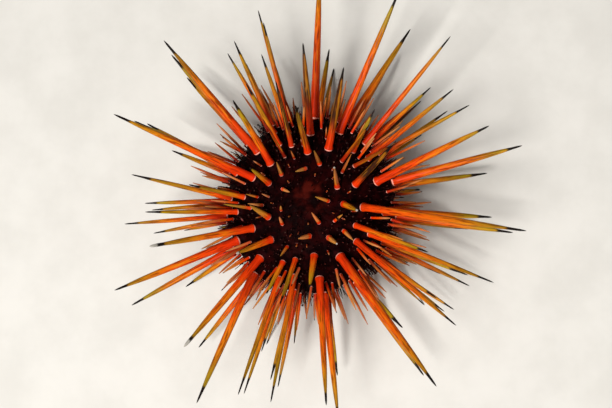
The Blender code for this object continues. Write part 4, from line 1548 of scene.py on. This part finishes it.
# %% Small bent tubes
def bent_tubes(row, bearing, length, radius, profile, bend, sides):
    """Small tubes on the skin.

    Centre = root + length (s normal + s**2 bend); radius = profile(s) radius.
    profile is a table of s and relative radius; bend is a sideways vector.
    """
    s, wide = np.array(profile).T
    n = surface_normals(row, bearing)[:, None]
    root = surface_points(row, bearing)[:, None] - n * (SKIN_DEPTH + 0.1 * MM)
    bend = bend[:, None]
    way = s[:, None]
    centre = root + length[:, None, None] * (way * n + way ** 2 * bend)
    axis = n + 2 * way * bend
    axis /= np.linalg.norm(axis, axis=-1, keepdims=True)
    r = wide * radius[:, None]
    rng = np.random.default_rng(len(row))
    return closed_tubes(rings_round(centre, axis, r, sides), centre[:, 0],
                        centre[:, -1] + axis[:, -1] * r[:, -1:] * 0.4,
                        root_patches(row, bearing),
                        {"tone": s[None, :, None], "tint": rng.random((len(row), 1, 1))})


# %% Finish of the small growths
GROWTH_DARK = (0.010, 0.0012, 0.0015)


def growth_finish(name, stops, roughness):
    """Colour by the tone along a growth, all but a few of them nearly black."""
    f = Finish(name, roughness, 0.08)
    noise = f.noise(f.place(), 1800, 2.0, 0.6)
    colour = f.ramp(f.math("ADD", f.mark("tone"), f.sway(noise, 0.3), True), stops)
    dim = f.span(f.mark("tint"), 0.02, 0.12, 0.35, 1.0)
    f.show("Base Color", f.mix(dim, colour, f.mix(0.94, colour, GROWTH_DARK)))
    f.show("Normal", f.bump(noise, 0.04 * MM, 0.5))
    return f.material


# %% Miliary spines
MILIARY = ((0.0, 1.0), (0.3, 1.05), (0.7, 0.85), (0.94, 0.78))
miliary_finish = growth_finish("miliary_spine", (
    (0.0, (0.016, 0.003, 0.004)), (0.55, (0.060, 0.008, 0.008)),
    (0.80, (0.20, 0.026, 0.018)), (1.0, (0.36, 0.090, 0.065))), 0.5)
row, bearing = free_places(1900, 11, 0.30 * MM)
rng = np.random.default_rng(12)
count = len(row)
bend = rng.normal(size=(count, 3)) * 0.12
# They are twice as long round the ambitus, where they make the dark fringe.
fringe = 1 + 1.1 * np.clip(np.sin(np.radians(row)), 0, 1) ** 6
make_piece("miliary_spines", [bent_tubes(
    row, bearing, rng.uniform(0.8, 1.7, count) * fringe * MM,
    rng.uniform(0.07, 0.12, count) * MM, MILIARY, bend, 6)], miliary_finish, "spine_rust")

# %% Pincers on stalks
PINCER = ((0.0, 0.5), (0.35, 0.36), (0.62, 0.36), (0.70, 0.9), (0.80, 1.15), (0.90, 0.95),
          (1.0, 0.42))
pincer_finish = growth_finish("pincer", (
    (0.0, (0.020, 0.004, 0.005)), (0.60, (0.05, 0.008, 0.010)),
    (0.72, (0.26, 0.060, 0.055)), (1.0, (0.42, 0.150, 0.130))), 0.4)
row, bearing = free_places(420, 21, 0.35 * MM)
rng = np.random.default_rng(22)
count = len(row)
bend = rng.normal(size=(count, 3)) * 0.3
make_piece("pedicellariae", [bent_tubes(
    row, bearing, rng.uniform(1.1, 2.2, count) * MM, rng.uniform(0.12, 0.18, count) * MM,
    PINCER, bend, 6)], pincer_finish, "skin_maroon")

# %% Places of the tube feet
POD_ROWS = np.arange(26.0, 152.0, 4.2)
POD_OFF, POD_STAGGER = 11.6, 0.9           # off the middle of a narrow gore, degrees
POD_CLEAR = 0.2 * MM


def pod_places():
    """One staggered row on each side of every narrow gore, clear of the roots."""
    stagger = POD_OFF + POD_STAGGER * np.cos(np.arange(len(POD_ROWS)) * np.pi)
    middles = FIRST_ZONE + ZONE_STEP * (np.arange(ZONES) + 0.5)
    bearing = np.concatenate([m + side * stagger for m in middles for side in (-1, 1)])
    row = np.tile(POD_ROWS, 2 * ZONES)
    keep = space_round(row, bearing, 1.2) > POD_CLEAR
    return row[keep], bearing[keep]


row, bearing = pod_places()
print(len(row), "tube feet")

# %% Tube feet
TUBE_FOOT = ((0.0, 1.25), (0.12, 1.0), (0.30, 0.88), (0.50, 0.78), (0.70, 0.70),
             (0.88, 0.66), (0.94, 1.05), (0.97, 1.35), (1.0, 1.3))
POD_FLOOR = 1.2 * MM             # none reaches lower than this
tube_foot_finish = growth_finish("tube_foot", (
    (0.0, (0.022, 0.004, 0.005)), (0.70, (0.075, 0.014, 0.012)),
    (0.95, (0.13, 0.035, 0.025)), (1.0, (0.32, 0.16, 0.11))), 0.3)
rng = np.random.default_rng(31)
count = len(row)
long = np.interp(row, (26, 70, 110, 150), (1.1, 1.8, 2.4, 3.4)) * rng.uniform(0.6, 1.25, count)
bend = rng.normal(size=(count, 3)) * 0.18
bend[:, 2] += np.where(row < 95, 0.15, -0.15)
fall = -(surface_normals(row, bearing) + bend)[:, 2]
room = surface_points(row, bearing)[:, 2] - POD_FLOOR
long = np.minimum(long * MM, room / np.maximum(fall, 0.05))
make_piece("tube_feet", [bent_tubes(
    row, bearing, long, rng.uniform(0.13, 0.19, count) * MM, TUBE_FOOT, bend, 8)],
    tube_foot_finish, "skin_maroon")

# %% [markdown]
# ## Round the mouth
#
# On the soft ring stand ten short stout tube feet in pairs, and at its edge ten
# tufted gills, one pair in each broad gore. Five white teeth meet in the middle:
# the tips of the jaw apparatus inside. Each tooth is a long chisel with a keel,
# worn to an edge. Feet and gills are straight tubes with a profile again, and a
# tooth is a stack of ovals that shrink along an arc.

# %% Short tubes on the soft ring
MOUTH_PATCH_ROW = 165.0          # their patches lie in this row of the UV map
RING_RADII = np.array((3.2, 6.0, 7.6)) * MM
RING_LEVELS = np.array((-0.30, 0.12, 0.5)) * MM        # over the test's edge


def mouth_ring(radii, bearings, lengths, radius, profile, lean, sides, seed):
    """Tubes that hang from the soft ring: way = down + lean outwards + a little
    at random, and centre = root + s length way."""
    rng = np.random.default_rng(seed)
    a = np.radians(bearings)
    out = np.stack([np.cos(a), np.sin(a), 0 * a], axis=-1)
    s, wide = np.array(profile).T
    height = low_edge + np.interp(radii, RING_RADII, RING_LEVELS)
    root = np.stack([OVAL[0] * radii * np.cos(a), OVAL[1] * radii * np.sin(a),
                     height + 0.15 * MM], axis=-1) - shift
    way = np.array((0.0, 0.0, -1.0)) + out * lean + rng.normal(size=(len(a), 3)) * 0.12
    way /= np.linalg.norm(way, axis=-1, keepdims=True)
    centre = root[:, None] + way[:, None] * (s[:, None] * lengths[:, None, None])
    axis = np.broadcast_to(way[:, None], centre.shape)
    points = rings_round(centre, axis, wide * radius[:, None], sides)
    return closed_tubes(points, centre[:, 0], centre[:, -1] + way * 0.05 * MM,
                        root_patches(np.full(len(a), MOUTH_PATCH_ROW), bearings),
                        {"tone": s[None, :, None], "tint": rng.random((len(a), 1, 1))})


# %% Mouth feet and gills
STOUT_FOOT = ((0.0, 1.3), (0.2, 1.05), (0.55, 0.9), (0.8, 0.95), (0.9, 1.5), (1.0, 1.45))
STOUT_OFF = 9.0                  # off the middle of a narrow gore, degrees
GILL = ((0.0, 0.8), (0.3, 1.0), (0.6, 1.15), (0.85, 0.9), (1.0, 0.45))
GILL_OFF, GILL_SPREAD, GILL_TUBES = 17.0, 3.6, 7

pair = np.concatenate([FIRST_ZONE + ZONE_STEP * (z + 0.5) + np.array((-STOUT_OFF, STOUT_OFF))
                       for z in range(ZONES)])
stout = mouth_ring(np.full(10, 4.6 * MM), pair, np.full(10, 2.1 * MM),
                   np.full(10, 0.34 * MM), STOUT_FOOT, 0.45, 12, 41)
tuft = np.linspace(-GILL_SPREAD, GILL_SPREAD, GILL_TUBES)
gill_at = np.concatenate([FIRST_ZONE + ZONE_STEP * z + side * GILL_OFF + tuft
                          for z in range(ZONES) for side in (-1, 1)])
rng = np.random.default_rng(42)
count = len(gill_at)
gills = mouth_ring(rng.uniform(6.5, 7.2, count) * MM, gill_at,
                   rng.uniform(0.8, 1.5, count) * MM,
                   rng.uniform(0.16, 0.26, count) * MM, GILL, 0.3, 6, 43)
make_piece("mouth_feet_and_gills", [stout, gills], tube_foot_finish, "skin_maroon")

# %% Teeth
TOOTH_RINGS, TOOTH_SIDES = 18, 20
TOOTH_TURN = 36.0                # bearing of the first tooth


def tooth(bearing):
    """A chisel swept along an arc that leans in to the mouth's middle.

    Each ring is an oval with a keel inside: its distance from the middle, its
    width and its depth shrink to the edge.
    """
    v = np.linspace(0, 1, TOOTH_RINGS)
    a = 2 * np.pi * np.arange(TOOTH_SIDES) / TOOTH_SIDES
    inward = np.interp(v, (0, 0.45, 1), (1.42, 1.12, 0.46)) * MM
    wide = np.interp(v, (0, 0.6, 0.92, 1), (0.50, 0.46, 0.36, 0.22)) * MM
    deep = np.interp(v, (0, 0.6, 1), (0.36, 0.28, 0.07)) * MM
    z = low_edge - 0.2 * MM - np.interp(v, (0, 1), (-0.55, 1.0)) * TOOTH_LENGTH
    keel = 1 + 0.35 * bell(a - np.pi, 0.5)
    b = math.radians(bearing)
    out = np.array([math.cos(b), math.sin(b), 0.0])
    side = np.array([-math.sin(b), math.cos(b), 0.0])
    x = inward[:, None] + deep[:, None] * np.cos(a) * keel
    y = wide[:, None] * np.sign(np.sin(a)) * np.abs(np.sin(a)) ** 0.8
    points = x[..., None] * out + y[..., None] * side
    points[..., 2] += z[:, None]
    return points[::-1] - np.append(shift[:2], 0.0)


tooth_points = np.stack([tooth(ZONE_STEP * k + TOOTH_TURN) for k in range(ZONES)])
tooth_part = closed_tubes(tooth_points, tooth_points[:, 0].mean(axis=1),
                          tooth_points[:, -1].mean(axis=1), cell_grid(ZONES),
                          {"along": np.linspace(1, 0, TOOTH_RINGS)[None, :, None]})
print("tooth edges at %.1f mm" % (tooth_points[..., 2].min() / MM))

# %% Finish of the teeth, and the piece
f = Finish("tooth_lime", 0.28, 0.6)
grain = f.noise(f.place(), 900, 3.0, 0.6)
f.show("Base Color", f.ramp(
    f.math("ADD", f.mark("along"), f.sway(grain, 0.35), True),
    ((0.0, (0.30, 0.16, 0.11)), (0.35, (0.62, 0.52, 0.40)), (0.8, (0.80, 0.77, 0.68)),
     (1.0, (0.60, 0.52, 0.42)))))
f.show("Normal", f.bump(grain, 0.05 * MM, 0.4))
make_piece("jaw_teeth", [tooth_part], f.material, "tooth_white", ["teeth"])

# %% [markdown]
# ## Floor and light
#
# A pale floor and soft, large lamps show the colours without glare. The brightest
# lamp stands at the lower left of the picture, as the light on the real animal
# does, so the spines that lean away from it fall a little darker. Two weak lamps
# and a grey sky lighten what it leaves in shade.

# %% Floor
FLOOR_HALF = 1.5                 # half its width, metres
FLOOR_TONES = ((0.60, 0.59, 0.56), (0.66, 0.65, 0.62))

h = FLOOR_HALF
mesh = bpy.data.meshes.new("floor")
mesh.from_pydata([(-h, -h, 0), (h, -h, 0), (h, h, 0), (-h, h, 0)], [], [(0, 1, 2, 3)])
floor = bpy.data.objects.new("floor", mesh)
bpy.context.scene.collection.objects.link(floor)
f = Finish("pale_floor", 0.7, 0.3)
speck = f.noise(f.place(), 60, 4.0, 0.6)
f.show("Base Color", f.mix(f.span(speck, 0.3, 0.7), *FLOOR_TONES))
mesh.materials.append(f.material)
print("floor %.0f m wide" % (2 * h))

# %% Lamps
def lamp(name, bearing, rise, distance, size, watts, colour):
    """A square soft lamp that faces the animal, at a distance in metres along a
    heading."""
    data = bpy.data.lights.new(name, "AREA")
    data.size, data.energy, data.color = size, watts, colour
    obj = bpy.data.objects.new(name, data)
    way = Vector(heading(bearing, rise))
    obj.matrix_world = (Matrix.Translation(way * distance)
                        @ way.to_track_quat("Z", "Y").to_matrix().to_4x4())
    bpy.context.scene.collection.objects.link(obj)


lamp("key", 238, 64, 0.9, 0.24, 11.0, (1.0, 0.97, 0.93))
lamp("fill", 60, 50, 1.1, 0.8, 1.0, (1.0, 0.96, 0.90))
lamp("low", 320, 18, 0.9, 0.5, 0.8, (1.0, 0.95, 0.9))
world = bpy.data.worlds.new("studio")
world.use_nodes = True
sky = world.node_tree.nodes["Background"].inputs
sky["Color"].default_value = (0.86, 0.87, 0.86, 1)
sky["Strength"].default_value = 0.12
bpy.context.scene.world = world
bpy.context.scene.view_settings.view_transform = "Standard"
print("three lamps and a grey sky")
